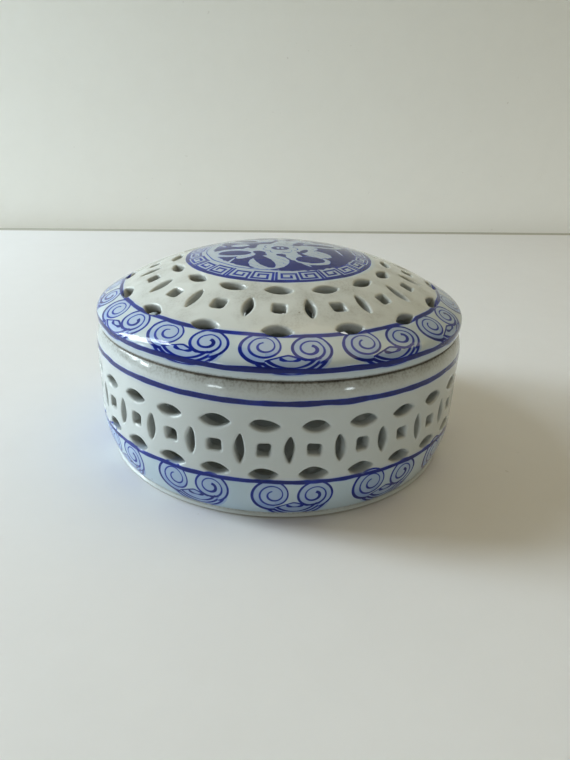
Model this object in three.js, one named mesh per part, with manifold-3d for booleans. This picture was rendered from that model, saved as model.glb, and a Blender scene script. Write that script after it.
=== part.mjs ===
// A lidded porcelain trinket box: a round bowl and a domed lid, both pierced with a ring of overlapping
// coins. Millimetres, +Z up. The origin is the middle of the foot ring's underside.
import * as THREE from "three";
import { mergeVertices } from "three/addons/utils/BufferGeometryUtils.js";
import Module from "manifold-3d";

const wasm = await Module();
wasm.setup();

// Bowl: outside
const BOWL_RADIUS = 60; // outside of the pierced wall
const FOOT_RADIUS = 57.2; // outside of the foot ring
const FOOT_HEIGHT = 1.2; // foot ring, up to the groove above it
const FOOT_GROOVE = 0.6; // how far the groove is set in from the foot ring
const HEEL_RADIUS = 57; // where the lower wall starts
const HEEL_HEIGHT = 1.8; // the same place, just above the groove
const BELLY_HEIGHT = 14; // where the lower wall reaches the bowl's full radius
const BELLY_FULLNESS = 0.5; // 0 draws the lower wall in at its foot, 1 at its top
const SHOULDER_HEIGHT = 38.2; // where the wall starts to turn in to its rim
const RIM_HEIGHT = 42.6; // ledge that the lid rests on
const RIM_ROUND = 1; // how far the ledge's outer edge lies inside the wall

// Bowl: inside
const BOWL_WALL = 3.2;
const FLOOR = 3.6;
const FOOT_RECESS = 1.6; // from the foot ring's underside up to the floor's
const FOOT_WIDTH = 3.6;
const WELL_ROUND = 5; // radius between floor and wall

// Lid
const LID_RADIUS = 59.3; // widest place, at the blue line
const LID_HEIGHT = 21.9; // from the rim's underside to the crown
const LID_WALL = 3.2;
const EDGE_HEIGHT = 3.2; // upright edge below the widest place
const EDGE_TAPER = 0.4; // how far the edge draws in towards the rim
const SHOULDER_RADIUS = 51.4; // where the dome turns down to the edge
const DOME_RISE = 12.55; // from there up to the crown
const SHOULDER_REACH = 0.7; // how much of the shoulder keeps on along the dome's slope

// Fit of the lid on the bowl
const SEAT_GAP = 0.3; // between the lid's rim and the ledge
const COLLAR_CLEARANCE = 0.7; // between the bowl's collar and the inside of the lid
const COLLAR_RISE = 3; // collar above the ledge
const COLLAR_WALL = 2.6;
const EDGE_CHAMFER = 0.4; // broken edges of collar, rim and foot

// Pierced ring of the bowl: one square, one upright and two lying petals for each coin
const BOWL_COINS = 28;
const BOWL_TURN = -2.3; // degrees from the front to the nearest square
const BOWL_RING_HEIGHT = 23.6; // middle of the ring
const BOWL_PETAL_OFFSET = 7.2; // lying petals above and below the middle
const BOWL_SQUARE = { width: 3.5, height: 3.6 };
const BOWL_LYING_PETAL = { width: 7.8, height: 3.4 };
const BOWL_UPRIGHT_PETAL = { width: 2.7, height: 8.1 };

// Pierced ring of the lid
const LID_COINS = 16;
const LID_RING_RADIUS = 41.8; // middle of the ring
const LID_PETAL_INSET = 7.9; // inner petals, nearer to the crown
const LID_PETAL_OUTSET = 8; // outer petals, at the blue line
const LID_SQUARE = { width: 4.2, height: 4.3 };
const LID_INNER_PETAL = { width: 8, height: 3.4 };
const LID_OUTER_PETAL = { width: 8.6, height: 3.6 };
const LID_UPRIGHT_PETAL = { width: 2.7, height: 7.6 };

// Smoothness
const BOWL_SIDES = 2 * BOWL_COINS;
const LID_SIDES = 3 * LID_COINS;
const PETAL_STEPS = 4; // flat stretches on each side of a petal
const BELLY_STEPS = 4;
const ROUND_STEPS = 3;
const LID_SHOULDER_STEPS = 6;
const DOME_STEPS = 7;
const CUT_MARGIN = 3; // how far a cutter reaches past each face of its wall

const v2 = (radius, height) => new THREE.Vector2(radius, height);

// Points of a curve that leaves `from` and reaches `to`, pulled to the corner between them.
function bend(from, corner, to, steps) {
  return new THREE.QuadraticBezierCurve(from, corner, to).getPoints(steps);
}

// A closed manifold solid from a three.js geometry, without the slivers that merging leaves on the axis.
function toSolid(geometry) {
  const bare = geometry.clone();
  bare.deleteAttribute("normal");
  bare.deleteAttribute("uv");
  const merged = mergeVertices(bare, 1e-4);
  const corners = merged.index.array;
  const kept = [];
  for (let i = 0; i < corners.length; i += 3) {
    const [a, b, c] = [corners[i], corners[i + 1], corners[i + 2]];
    if (a !== b && b !== c && c !== a) kept.push(a, b, c);
  }
  const vertProperties = merged.attributes.position.array;
  const triVerts = new Uint32Array(kept);
  return new wasm.Manifold(new wasm.Mesh({ numProp: 3, vertProperties, triVerts }));
}

function toGeometry(solid) {
  const { vertProperties, triVerts } = solid.getMesh();
  const geometry = new THREE.BufferGeometry();
  geometry.setAttribute("position", new THREE.BufferAttribute(vertProperties, 3));
  geometry.setIndex(new THREE.BufferAttribute(triVerts, 1));
  geometry.computeVertexNormals();
  return geometry;
}

// Profile points (radius, height), from the axis round the section and back to the axis.
function revolve(profile, sides) {
  return toSolid(new THREE.LatheGeometry(profile, sides).rotateX(Math.PI / 2));
}

function squareHole({ width, height }) {
  const shape = new THREE.Shape();
  shape.moveTo(-width / 2, -height / 2);
  shape.lineTo(width / 2, -height / 2);
  shape.lineTo(width / 2, height / 2);
  shape.lineTo(-width / 2, height / 2);
  shape.closePath();
  return shape;
}

// A petal is the overlap of two equal circles: `long` from tip to tip, `short` across.
function petalPoints(long, short) {
  const radius = (long * long + short * short) / (4 * short);
  const reach = Math.asin(long / 2 / radius);
  const centre = radius - short / 2;
  const points = [];
  for (const side of [-1, 1])
    for (let i = 0; i < PETAL_STEPS; i++) {
      const angle = reach * ((2 * i) / PETAL_STEPS - 1);
      points.push([-side * radius * Math.sin(angle), side * (radius * Math.cos(angle) - centre)]);
    }
  return points;
}

function petalHole({ width, height }) {
  const upright = height > width;
  const points = petalPoints(Math.max(width, height), Math.min(width, height));
  const place = ([along, across]) => (upright ? v2(-across, along) : v2(along, across));
  return new THREE.Shape(points.map(place));
}

// A straight cutter through a wall: the hole's outline, centred on `place` and square to `normal`.
function cutter(outline, place, normal, wall) {
  const depth = wall + 2 * CUT_MARGIN;
  const geometry = new THREE.ExtrudeGeometry(outline, { depth, bevelEnabled: false });
  geometry.translate(0, 0, -wall - CUT_MARGIN);
  const sideways = new THREE.Vector3(-place.y, place.x, 0).normalize();
  const upwards = new THREE.Vector3().crossVectors(normal, sideways);
  geometry.applyMatrix4(new THREE.Matrix4().makeBasis(sideways, upwards, normal).setPosition(place));
  return toSolid(geometry);
}

function joinAll(solids) {
  return solids.reduce((joined, solid) => joined.add(solid));
}

// Turns from the front of the box, in radians, of `count` copies that start `start` steps along.
function ringAngles(count, turnDegrees, start) {
  const first = THREE.MathUtils.degToRad(turnDegrees - 90);
  return Array.from({ length: count }, (_, i) => first + ((i + start) * 2 * Math.PI) / count);
}

const bowlWallInside = BOWL_RADIUS - BOWL_WALL;
const lidRimInside = LID_RADIUS - LID_WALL;
const collarOutside = lidRimInside - COLLAR_CLEARANCE;
const collarInside = collarOutside - COLLAR_WALL;
const lidBottom = RIM_HEIGHT + SEAT_GAP;

function bowlProfile() {
  const footInside = FOOT_RADIUS - FOOT_WIDTH;
  const floorTop = FOOT_RECESS + FLOOR;
  const ledgeOutside = BOWL_RADIUS - RIM_ROUND;
  const collarTop = RIM_HEIGHT + COLLAR_RISE;
  const throatDepth = bowlWallInside - collarInside;
  const throat = RIM_HEIGHT - throatDepth / 2;
  const heel = v2(HEEL_RADIUS, HEEL_HEIGHT);
  const belly = v2(BOWL_RADIUS, BELLY_HEIGHT);
  const bellyPull = v2(BOWL_RADIUS, HEEL_HEIGHT + (BELLY_HEIGHT - HEEL_HEIGHT) * BELLY_FULLNESS);
  const shoulder = v2(BOWL_RADIUS, SHOULDER_HEIGHT);
  const wellWall = v2(bowlWallInside, floorTop + WELL_ROUND);
  const wellFloor = v2(bowlWallInside - WELL_ROUND, floorTop);
  return [
    v2(0, FOOT_RECESS),
    v2(footInside - EDGE_CHAMFER, FOOT_RECESS),
    v2(footInside, 0),
    v2(FOOT_RADIUS - EDGE_CHAMFER, 0),
    v2(FOOT_RADIUS, FOOT_HEIGHT / 2),
    v2(FOOT_RADIUS - FOOT_GROOVE, FOOT_HEIGHT),
    ...bend(heel, bellyPull, belly, BELLY_STEPS),
    ...bend(shoulder, v2(BOWL_RADIUS, RIM_HEIGHT), v2(ledgeOutside, RIM_HEIGHT), ROUND_STEPS),
    v2(collarOutside, RIM_HEIGHT),
    v2(collarOutside, collarTop - EDGE_CHAMFER),
    v2(collarOutside - EDGE_CHAMFER, collarTop),
    v2(collarInside + EDGE_CHAMFER, collarTop),
    v2(collarInside, collarTop - EDGE_CHAMFER),
    v2(collarInside, throat),
    v2(bowlWallInside, throat - throatDepth),
    ...bend(wellWall, v2(bowlWallInside, floorTop), wellFloor, ROUND_STEPS),
    v2(0, floorTop),
  ];
}

// The dome is part of a sphere through the crown and the shoulder.
const domeRadius = (SHOULDER_RADIUS ** 2 + DOME_RISE ** 2) / (2 * DOME_RISE);
const crownHeight = lidBottom + LID_HEIGHT;
const domeCentre = crownHeight - domeRadius;
const shoulderSlope = Math.asin(SHOULDER_RADIUS / domeRadius);

// Points on the dome, or on the same dome thinner by `inset`, from the crown to the shoulder.
function domeCurve(inset) {
  const radius = domeRadius - inset;
  const points = [];
  for (let i = 0; i <= DOME_STEPS; i++) {
    const slope = (shoulderSlope * i) / DOME_STEPS;
    points.push(v2(radius * Math.sin(slope), domeCentre + radius * Math.cos(slope)));
  }
  return points;
}

// From the end of a dome curve down to an upright edge at `radius`.
function shoulderCurve(start, radius, edgeTop) {
  const run = (radius - start.x) * SHOULDER_REACH;
  const along = v2(start.x + run, start.y - run * Math.tan(shoulderSlope));
  const above = v2(radius, THREE.MathUtils.lerp(edgeTop, along.y, SHOULDER_REACH));
  const curve = new THREE.CubicBezierCurve(start, along, above, v2(radius, edgeTop));
  return curve.getPoints(LID_SHOULDER_STEPS).slice(1);
}

function lidProfile() {
  const outer = domeCurve(0);
  const inner = domeCurve(LID_WALL);
  const edgeTop = lidBottom + EDGE_HEIGHT;
  const rimOutside = LID_RADIUS - EDGE_TAPER;
  const down = [
    ...outer,
    ...shoulderCurve(outer.at(-1), LID_RADIUS, edgeTop),
    v2(rimOutside, lidBottom + EDGE_CHAMFER),
    v2(rimOutside - EDGE_CHAMFER, lidBottom),
    v2(lidRimInside + EDGE_CHAMFER, lidBottom),
    v2(lidRimInside, lidBottom + EDGE_CHAMFER),
  ];
  const up = [...inner, ...shoulderCurve(inner.at(-1), lidRimInside, edgeTop)].reverse();
  return [...down, ...up].reverse();
}

function bowlCutters() {
  const holes = [
    { outline: squareHole(BOWL_SQUARE), height: BOWL_RING_HEIGHT, start: 0 },
    { outline: petalHole(BOWL_UPRIGHT_PETAL), height: BOWL_RING_HEIGHT, start: 0.5 },
    { outline: petalHole(BOWL_LYING_PETAL), height: BOWL_RING_HEIGHT + BOWL_PETAL_OFFSET, start: 0 },
    { outline: petalHole(BOWL_LYING_PETAL), height: BOWL_RING_HEIGHT - BOWL_PETAL_OFFSET, start: 0 },
  ];
  return holes.flatMap(({ outline, height, start }) =>
    ringAngles(BOWL_COINS, BOWL_TURN, start).map((angle) => {
      const normal = new THREE.Vector3(Math.cos(angle), Math.sin(angle), 0);
      const place = normal.clone().multiplyScalar(BOWL_RADIUS).setZ(height);
      return cutter(outline, place, normal, BOWL_WALL);
    }),
  );
}

function lidCutters() {
  const holes = [
    { outline: squareHole(LID_SQUARE), radius: LID_RING_RADIUS, start: 0 },
    { outline: petalHole(LID_UPRIGHT_PETAL), radius: LID_RING_RADIUS, start: 0.5 },
    { outline: petalHole(LID_INNER_PETAL), radius: LID_RING_RADIUS - LID_PETAL_INSET, start: 0 },
    { outline: petalHole(LID_OUTER_PETAL), radius: LID_RING_RADIUS + LID_PETAL_OUTSET, start: 0 },
  ];
  return holes.flatMap(({ outline, radius, start }) =>
    ringAngles(LID_COINS, 0, start).map((angle) => {
      const slope = Math.asin(radius / domeRadius);
      const normal = new THREE.Vector3(Math.sin(slope), 0, Math.cos(slope)).applyAxisAngle(
        new THREE.Vector3(0, 0, 1),
        angle,
      );
      const place = normal.clone().multiplyScalar(domeRadius).add(new THREE.Vector3(0, 0, domeCentre));
      return cutter(outline, place, normal, LID_WALL);
    }),
  );
}

function porcelain(name, color) {
  return new THREE.MeshStandardMaterial({ name, color, roughness: 0.14, metalness: 0 });
}

function namedMesh(name, solid, material) {
  const mesh = new THREE.Mesh(toGeometry(solid), material);
  mesh.name = name;
  return mesh;
}

function buildBowl() {
  const body = revolve(bowlProfile(), BOWL_SIDES);
  return namedMesh("bowl", body.subtract(joinAll(bowlCutters())), porcelain("bowl porcelain", "#cdd6d9"));
}

function buildLid() {
  const body = revolve(lidProfile(), LID_SIDES);
  return namedMesh("lid", body.subtract(joinAll(lidCutters())), porcelain("lid porcelain", "#d3dcdf"));
}

const box = new THREE.Group();
box.name = "trinket_box";
box.add(buildBowl(), buildLid());

export default box;
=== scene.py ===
"""A pierced blue-and-white porcelain trinket box: its bowl, its lid, the table it stands on and the light."""

import logging
import math
from dataclasses import dataclass, field
from enum import Enum
from typing import Callable, Sequence

import bmesh
import bpy
from mathutils import Matrix, Vector
from mathutils.geometry import delaunay_2d_cdt


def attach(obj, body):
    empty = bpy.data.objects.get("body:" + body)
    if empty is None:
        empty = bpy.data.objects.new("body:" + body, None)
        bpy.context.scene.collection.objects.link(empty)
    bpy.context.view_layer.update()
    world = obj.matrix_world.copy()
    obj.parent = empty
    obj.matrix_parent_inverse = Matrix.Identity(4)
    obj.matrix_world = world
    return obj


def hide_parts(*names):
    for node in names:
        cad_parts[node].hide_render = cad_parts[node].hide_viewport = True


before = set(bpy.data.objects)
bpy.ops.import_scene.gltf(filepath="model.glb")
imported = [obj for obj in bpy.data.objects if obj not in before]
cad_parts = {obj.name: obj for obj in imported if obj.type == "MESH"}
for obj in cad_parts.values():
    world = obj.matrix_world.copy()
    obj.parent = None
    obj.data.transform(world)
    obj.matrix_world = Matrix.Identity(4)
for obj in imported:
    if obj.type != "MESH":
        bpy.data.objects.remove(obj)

log = logging.getLogger("trinket_box")

MM = 0.001
SLIVER = 1e-3  # square millimetres, below which a triangle is only three points in a row
ROW_STEP = 0.87  # from one row of free points to the next, as a share of their spacing
CLEARANCE = 0.55  # from a free point to the nearest edge, as the same share
FRONT = -math.pi / 2  # direction of the side that faces the camera
Flat = tuple[float, float]
Solid = tuple[float, float, float]
Colour = tuple[float, float, float]


class HoleKind(Enum):
    """The two shapes of opening in the coin pattern."""

    SQUARE = "square"
    PETAL = "petal"


class Side(Enum):
    """Which part of a hole lies inside one sector of the ring."""

    WHOLE = "whole"
    LEFT_BORDER = "left_border"
    RIGHT_BORDER = "right_border"


# ---------------------------------------------------------------- formulas as shader nodes


class Number:
    """A number that changes over a surface. It is added, multiplied and compared as plain numbers are."""

    def __init__(self, tree: bpy.types.NodeTree, socket: bpy.types.NodeSocket) -> None:
        """Wraps a socket.

        Args:
            tree: The tree that the socket is in.
            socket: The socket that puts the number out.
        """
        self.tree = tree
        self.socket = socket

    def made(self, kind: str, *terms: "Number | float", clamp: bool = False) -> "Number":
        """Adds one Math node.

        Args:
            kind: Its operation.
            *terms: The numbers after this one.
            clamp: Whether the result is kept between 0 and 1.

        Returns:
            The result.
        """
        node = self.tree.nodes.new("ShaderNodeMath")
        node.operation = kind
        node.use_clamp = clamp
        for socket, term in zip(node.inputs, (self, *terms)):
            feed(self.tree, socket, term)
        return Number(self.tree, node.outputs[0])

    def swapped(self, kind: str, term: float) -> "Number":
        """Adds one Math node whose first number is a plain one."""
        node = self.tree.nodes.new("ShaderNodeMath")
        node.operation = kind
        node.inputs[0].default_value = term
        self.tree.links.new(self.socket, node.inputs[1])
        return Number(self.tree, node.outputs[0])

    def __add__(self, other: "Number | float") -> "Number":
        """Sum."""
        return self.made("ADD", other)

    def __sub__(self, other: "Number | float") -> "Number":
        """Difference."""
        return self.made("SUBTRACT", other)

    def __rsub__(self, other: float) -> "Number":
        """Difference from a plain number."""
        return self.swapped("SUBTRACT", other)

    def __mul__(self, other: "Number | float") -> "Number":
        """Product."""
        return self.made("MULTIPLY", other)

    def __truediv__(self, other: "Number | float") -> "Number":
        """Quotient."""
        return self.made("DIVIDE", other)

    def __abs__(self) -> "Number":
        """Size without sign."""
        return self.made("ABSOLUTE")

    __rmul__ = __mul__

    def least(self, other: "Number | float") -> "Number":
        """The smaller of two."""
        return self.made("MINIMUM", other)

    def most(self, other: "Number | float") -> "Number":
        """The greater of two."""
        return self.made("MAXIMUM", other)

    def kept(self, low: float, high: float) -> "Number":
        """The number, held between two bounds."""
        return self.made("MAXIMUM", low).made("MINIMUM", high)

    def below(self, limit: "Number | float", soft: float) -> "Number":
        """1 where the number is below the limit, 0 above it, with a soft step between."""
        return ((limit - self) / soft).made("ADD", 0.5, clamp=True)

    def above(self, limit: "Number | float", soft: float) -> "Number":
        """1 where the number is above the limit, 0 below it, with a soft step between."""
        return ((self - limit) / soft).made("ADD", 0.5, clamp=True)

    def cos(self) -> "Number":
        """Cosine."""
        return self.made("COSINE")

    def sin(self) -> "Number":
        """Sine."""
        return self.made("SINE")

    def part(self) -> "Number":
        """What is left above the whole number below."""
        return self.made("FRACT")

    def nearest(self) -> "Number":
        """The nearest whole number."""
        return self.made("ROUND")


def feed(tree: bpy.types.NodeTree, socket: bpy.types.NodeSocket, value: object) -> None:
    """Links or sets a socket.

    Args:
        tree: The tree.
        socket: The input.
        value: A Number, a socket or a plain value.
    """
    if isinstance(value, Number):
        tree.links.new(value.socket, socket)
    elif isinstance(value, bpy.types.NodeSocket):
        tree.links.new(value, socket)
    else:
        socket.default_value = value


def reach_of(x: Number, y: Number) -> Number:
    """Distance of a flat place from the origin."""
    return (x * x + y * y).made("SQRT")


def bearing(x: Number, y: Number) -> Number:
    """Direction of a flat place from the origin, in radians."""
    return y.made("ARCTAN2", x)


class Painter:
    """Builds one shader tree: names its inputs, reads places and noise, and stores its outputs."""

    def __init__(self, tree: bpy.types.NodeTree) -> None:
        """Starts on a tree.

        Args:
            tree: The tree that nodes go into.
        """
        self.tree = tree
        self.source: bpy.types.Node | None = None
        self.target: bpy.types.Node | None = None

    @classmethod
    def group(cls, name: str, inputs: dict[str, str], outputs: dict[str, str]) -> "Painter":
        """Makes a node group with named sockets.

        Args:
            name: Name of the group.
            inputs: Socket kinds by name, each Float, Vector or Color.
            outputs: The same for what it puts out.

        Returns:
            A painter on the group's tree.
        """
        tree = bpy.data.node_groups.new(name, "ShaderNodeTree")
        for label, kind in inputs.items():
            tree.interface.new_socket(label, in_out="INPUT", socket_type=f"NodeSocket{kind}")
        for label, kind in outputs.items():
            tree.interface.new_socket(label, in_out="OUTPUT", socket_type=f"NodeSocket{kind}")
        painter = cls(tree)
        painter.source = tree.nodes.new("NodeGroupInput")
        painter.target = tree.nodes.new("NodeGroupOutput")
        return painter

    def given(self, label: str) -> Number:
        """One of the group's inputs."""
        return Number(self.tree, self.source.outputs[label])

    def put(self, label: str, value: object) -> None:
        """Sets one of the group's outputs."""
        feed(self.tree, self.target.inputs[label], value)

    def use(self, group: "Painter", **values: object) -> bpy.types.Node:
        """Places a group.

        Args:
            group: The painter of the group.
            **values: Its inputs by name.

        Returns:
            The group's node.
        """
        node = self.tree.nodes.new("ShaderNodeGroup")
        node.node_tree = group.tree
        for label, value in values.items():
            feed(self.tree, node.inputs[label], value)
        return node

    def out(self, node: bpy.types.Node, label: str) -> Number:
        """An output of a placed node."""
        return Number(self.tree, node.outputs[label])

    def split(self, vector: bpy.types.NodeSocket) -> tuple[Number, Number, Number]:
        """The three numbers of a vector."""
        node = self.tree.nodes.new("ShaderNodeSeparateXYZ")
        self.tree.links.new(vector, node.inputs[0])
        return tuple(Number(self.tree, s) for s in node.outputs)

    def joined(self, x: "Number | float", y: "Number | float", z: "Number | float") -> bpy.types.NodeSocket:
        """A vector of three numbers."""
        node = self.tree.nodes.new("ShaderNodeCombineXYZ")
        for socket, value in zip(node.inputs, (x, y, z)):
            feed(self.tree, socket, value)
        return node.outputs[0]

    def attribute(self, name: str) -> Number:
        """A number stored on the mesh."""
        node = self.tree.nodes.new("ShaderNodeAttribute")
        node.attribute_name = name
        return Number(self.tree, node.outputs["Fac"])

    def noise(self, vector: bpy.types.NodeSocket, scale: float, detail: float = 2.0, rough: float = 0.5) -> Number:
        """Cloudy noise about 0.5."""
        node = self.tree.nodes.new("ShaderNodeTexNoise")
        self.tree.links.new(vector, node.inputs["Vector"])
        node.inputs["Scale"].default_value = scale
        node.inputs["Detail"].default_value = detail
        node.inputs["Roughness"].default_value = rough
        return Number(self.tree, node.outputs["Fac"])

    def chance(self, seed: Number) -> tuple[Number, Number, Number]:
        """Three random numbers from 0 to 1 that hold for one whole number."""
        node = self.tree.nodes.new("ShaderNodeTexWhiteNoise")
        node.noise_dimensions = "1D"
        self.tree.links.new(seed.socket, node.inputs["W"])
        return self.split(node.outputs["Color"])

    def blend(self, share: "Number | float", one: object, two: object) -> bpy.types.NodeSocket:
        """Mixes two colours.

        Args:
            share: How much of the second.
            one: First colour.
            two: Second colour.

        Returns:
            The mixed colour.
        """
        node = self.tree.nodes.new("ShaderNodeMix")
        node.data_type = "RGBA"
        for socket, value in ((node.inputs[0], share), (node.inputs[6], one), (node.inputs[7], two)):
            feed(self.tree, socket, (*value, 1.0) if isinstance(value, tuple) else value)
        return node.outputs[2]


# ---------------------------------------------------------------- painted ornament


@dataclass(frozen=True)
class ScrollCloud:
    """The brushed cloud: two facing scrolls over a few waves. Millimetres about the motif's middle line."""

    left: Flat = (-5.4, 9.5)
    left_reach: float = 5.75
    left_pitch: float = 1.8
    left_turns: float = 2.42
    left_lean: float = 195.0  # degrees to the side that the left scroll bulges to
    left_bulge: float = 0.2
    right: Flat = (5.6, 9.0)
    right_reach: float = 5.1
    right_pitch: float = 1.83
    right_turns: float = 2.2
    right_lean: float = 225.0
    right_bulge: float = 0.07
    right_hook: float = 0.26  # how much thicker the right scroll ends
    peak: float = 6.3  # height of the outline where the two scrolls meet
    fall: float = 0.43  # how steeply the outline falls from there
    wave: Flat = (0.4, 6.8)  # middle of the waves
    wave_width: float = 1.38  # of their height
    lip_reach: float = 2.35  # of the curl above the waves
    first_wave: float = 4.45
    wave_step: float = 1.02
    sea_reach: float = 7.3  # where the waves' wash ends
    brush: float = 0.18  # half of a thin stroke
    soft: float = 0.24
    feather: float = 0.5  # how far the outline's peak is rounded

    def group(self) -> Painter:
        """Builds the node group.

        Returns:
            A group with X, Y and Load, how much wider the strokes are, in and with Line and Wash out.
        """
        sockets = {"X": "Float", "Y": "Float", "Load": "Float"}
        work = Painter.group("scroll_cloud", sockets, {"Line": "Float", "Wash": "Float"})
        x, y, load = work.given("X"), work.given("Y"), work.given("Load")
        lx, ly = x - self.left[0], y - self.left[1]
        angle = bearing(lx, ly)
        rho = reach_of(lx, ly) / ((angle - math.radians(self.left_lean)).cos() * self.left_bulge + 1.0)
        turn = (angle * (-1 / math.tau) - 0.25).part()
        coil, left_line = self.coil(rho, turn, self.left_reach, self.left_pitch, self.left_turns, load)
        left_disc = coil.above(0.0, 0.12)
        crescent = left_disc * coil.below(0.95, 0.3) * y.below(7.5, 3.0)

        rx, ry = x - self.right[0], y - self.right[1]
        angle = bearing(rx, ry)
        rho = reach_of(rx, ry) / ((angle - math.radians(self.right_lean)).cos() * self.right_bulge + 1.04)
        turn = (angle / math.tau).part()
        coil, right_line = self.coil(
            rho, turn, self.right_reach, self.right_pitch, self.right_turns, load, 0.75, self.right_hook
        )
        under = turn.above(0.8, 0.04)
        tail = self.stroke(abs(rho - self.right_reach), load + (self.brush + 0.08)) * under
        right_disc = coil.above(0.0, 0.12).most(rho.below(self.right_reach, 0.2) * under)
        blot = self.stroke(reach_of((rx - 1.0) / 1.6, ry + 3.55), 0.3) * 0.9

        fallen = ((reach_of(x, self.feather) - self.feather) * self.fall).least(2.0 - x * 0.14)
        depth = (self.peak - y) - fallen
        outline = self.stroke(abs(depth), load + x.above(0.0, 3.0) * 0.1 + self.brush) * abs(x).below(7.6, 0.8)
        below = depth.above(0.0, 0.1)

        wx = (x - self.wave[0]) / self.wave_width
        ring = reach_of(wx, y - self.wave[1])
        side = abs(wx)
        lip = self.stroke(abs(ring - self.lip_reach), load + side.above(0.8, 0.8) * 0.26 + 0.14)
        lip = lip * side.below(1.8, 0.3)
        count = (ring - self.first_wave) / self.wave_step
        nearest = count.nearest().kept(0.0, 2.0)
        heavy = side.above(1.6, 1.6) * 0.12 - (x.above(0.0, 2.0) * 0.06)
        waves = self.stroke(abs(count - nearest) * self.wave_step, load + heavy + 0.17)
        fan = lip.most(waves) * below * (1.0 - left_disc) * (1.0 - right_disc)
        sea = ring.below(self.sea_reach, 0.2) * below
        line = left_line.most(right_line).most(tail).most(blot).most(outline * (1.0 - left_disc)).most(fan)

        work.put("Line", line)
        work.put("Wash", (left_disc.most(right_disc) * 0.75 + crescent * 0.6).most(sea * 0.95))
        return work

    def coil(
        self,
        rho: Number,
        turn: Number,
        reach: float,
        pitch: float,
        turns: float,
        load: Number,
        lowest: float = 0.0,
        hook: float = 0.0,
    ) -> tuple[Number, Number]:
        """One scroll.

        Args:
            rho: Distance from its centre.
            turn: Share of a turn from the scroll's outer end.
            reach: Where the scroll starts.
            pitch: How much nearer it comes in a turn.
            turns: How long it is.
            load: How much wider the stroke is.
            lowest: Share of a turn after which it is at its lowest, where the brush is full.
            hook: How much thicker it ends.

        Returns:
            How many turns in from the outer stroke a place is, and the stroke itself.
        """
        inwards = (reach - turn * pitch - rho) / pitch
        nearest = inwards.nearest().kept(0.0, 2.0)
        length = turn + nearest
        end = length.above(turns - 0.35, 0.4) * hook
        outer = length.below(0.7, 0.8)
        low = ((turn - lowest) * math.tau).cos().above(0.3, 1.0) * 0.07
        line = self.stroke(abs(inwards - nearest) * pitch, load + end + low + outer * 0.09 + self.brush)
        return inwards, line * length.below(turns, 0.05) * (outer.most(end * 4.0) * 0.3 + low * 2.0 + 0.7)

    def stroke(self, distance: Number, half: "Number | float") -> Number:
        """A soft-edged brush stroke: 1 along its middle and 0 outside."""
        return distance.below(half, self.soft)


@dataclass(frozen=True)
class KeyFret:
    """A ring of square spirals, each one the last one's turned twin."""

    units: int = 24
    middle: float = 26.65  # radius
    half_width: float = 2.35
    brush: float = 0.36
    path: tuple[Flat, ...] = (
        (-0.86, -1.0),
        (-0.86, 0.92),
        (0.82, 0.92),
        (0.82, -0.62),
        (-0.42, -0.62),
        (-0.42, 0.36),
        (0.36, 0.36),
        (0.36, -0.1),
    )  # corners of one spiral, as shares of half its length and half its width

    def line(self, radius: Number, angle: Number) -> Number:
        """The dark lines of the fret.

        Args:
            radius: From the box's axis, in millimetres.
            angle: Round the axis, in radians.

        Returns:
            1 on the lines, 0 beside them.
        """
        step = math.tau / self.units
        count = (angle / step).nearest()
        sign = 1.0 - abs((count * 0.5).part() * 2.0) * 2.0
        x = (angle - count * step) * self.middle * sign
        y = (radius - self.middle) * sign
        w, h = step * self.middle / 2, self.half_width
        line: Number | None = None
        for (x1, y1), (x2, y2) in zip(self.path, self.path[1:]):
            across = abs(x - (x1 + x2) / 2 * w) - abs(x2 - x1) / 2 * w
            along = abs(y - (y1 + y2) / 2 * h) - abs(y2 - y1) / 2 * h
            piece = across.most(along)
            line = piece if line is None else line.least(piece)
        return line.below(self.brush, 0.3)


@dataclass(frozen=True)
class Blot:
    """One oval touch of the brush, in millimetres."""

    middle: Flat
    long: float  # half of its length
    short: float  # half of its width
    tilt: float  # degrees

    def spread(self, x: Number, y: Number) -> Number:
        """How far out a place is, squared: 1 on the blot's edge."""
        across, up = math.cos(math.radians(self.tilt)), math.sin(math.radians(self.tilt))
        p = (x * across + y * up - (self.middle[0] * across + self.middle[1] * up)) / self.long
        q = (y * across - x * up - (self.middle[1] * across - self.middle[0] * up)) / self.short
        return p * p + q * q


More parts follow.
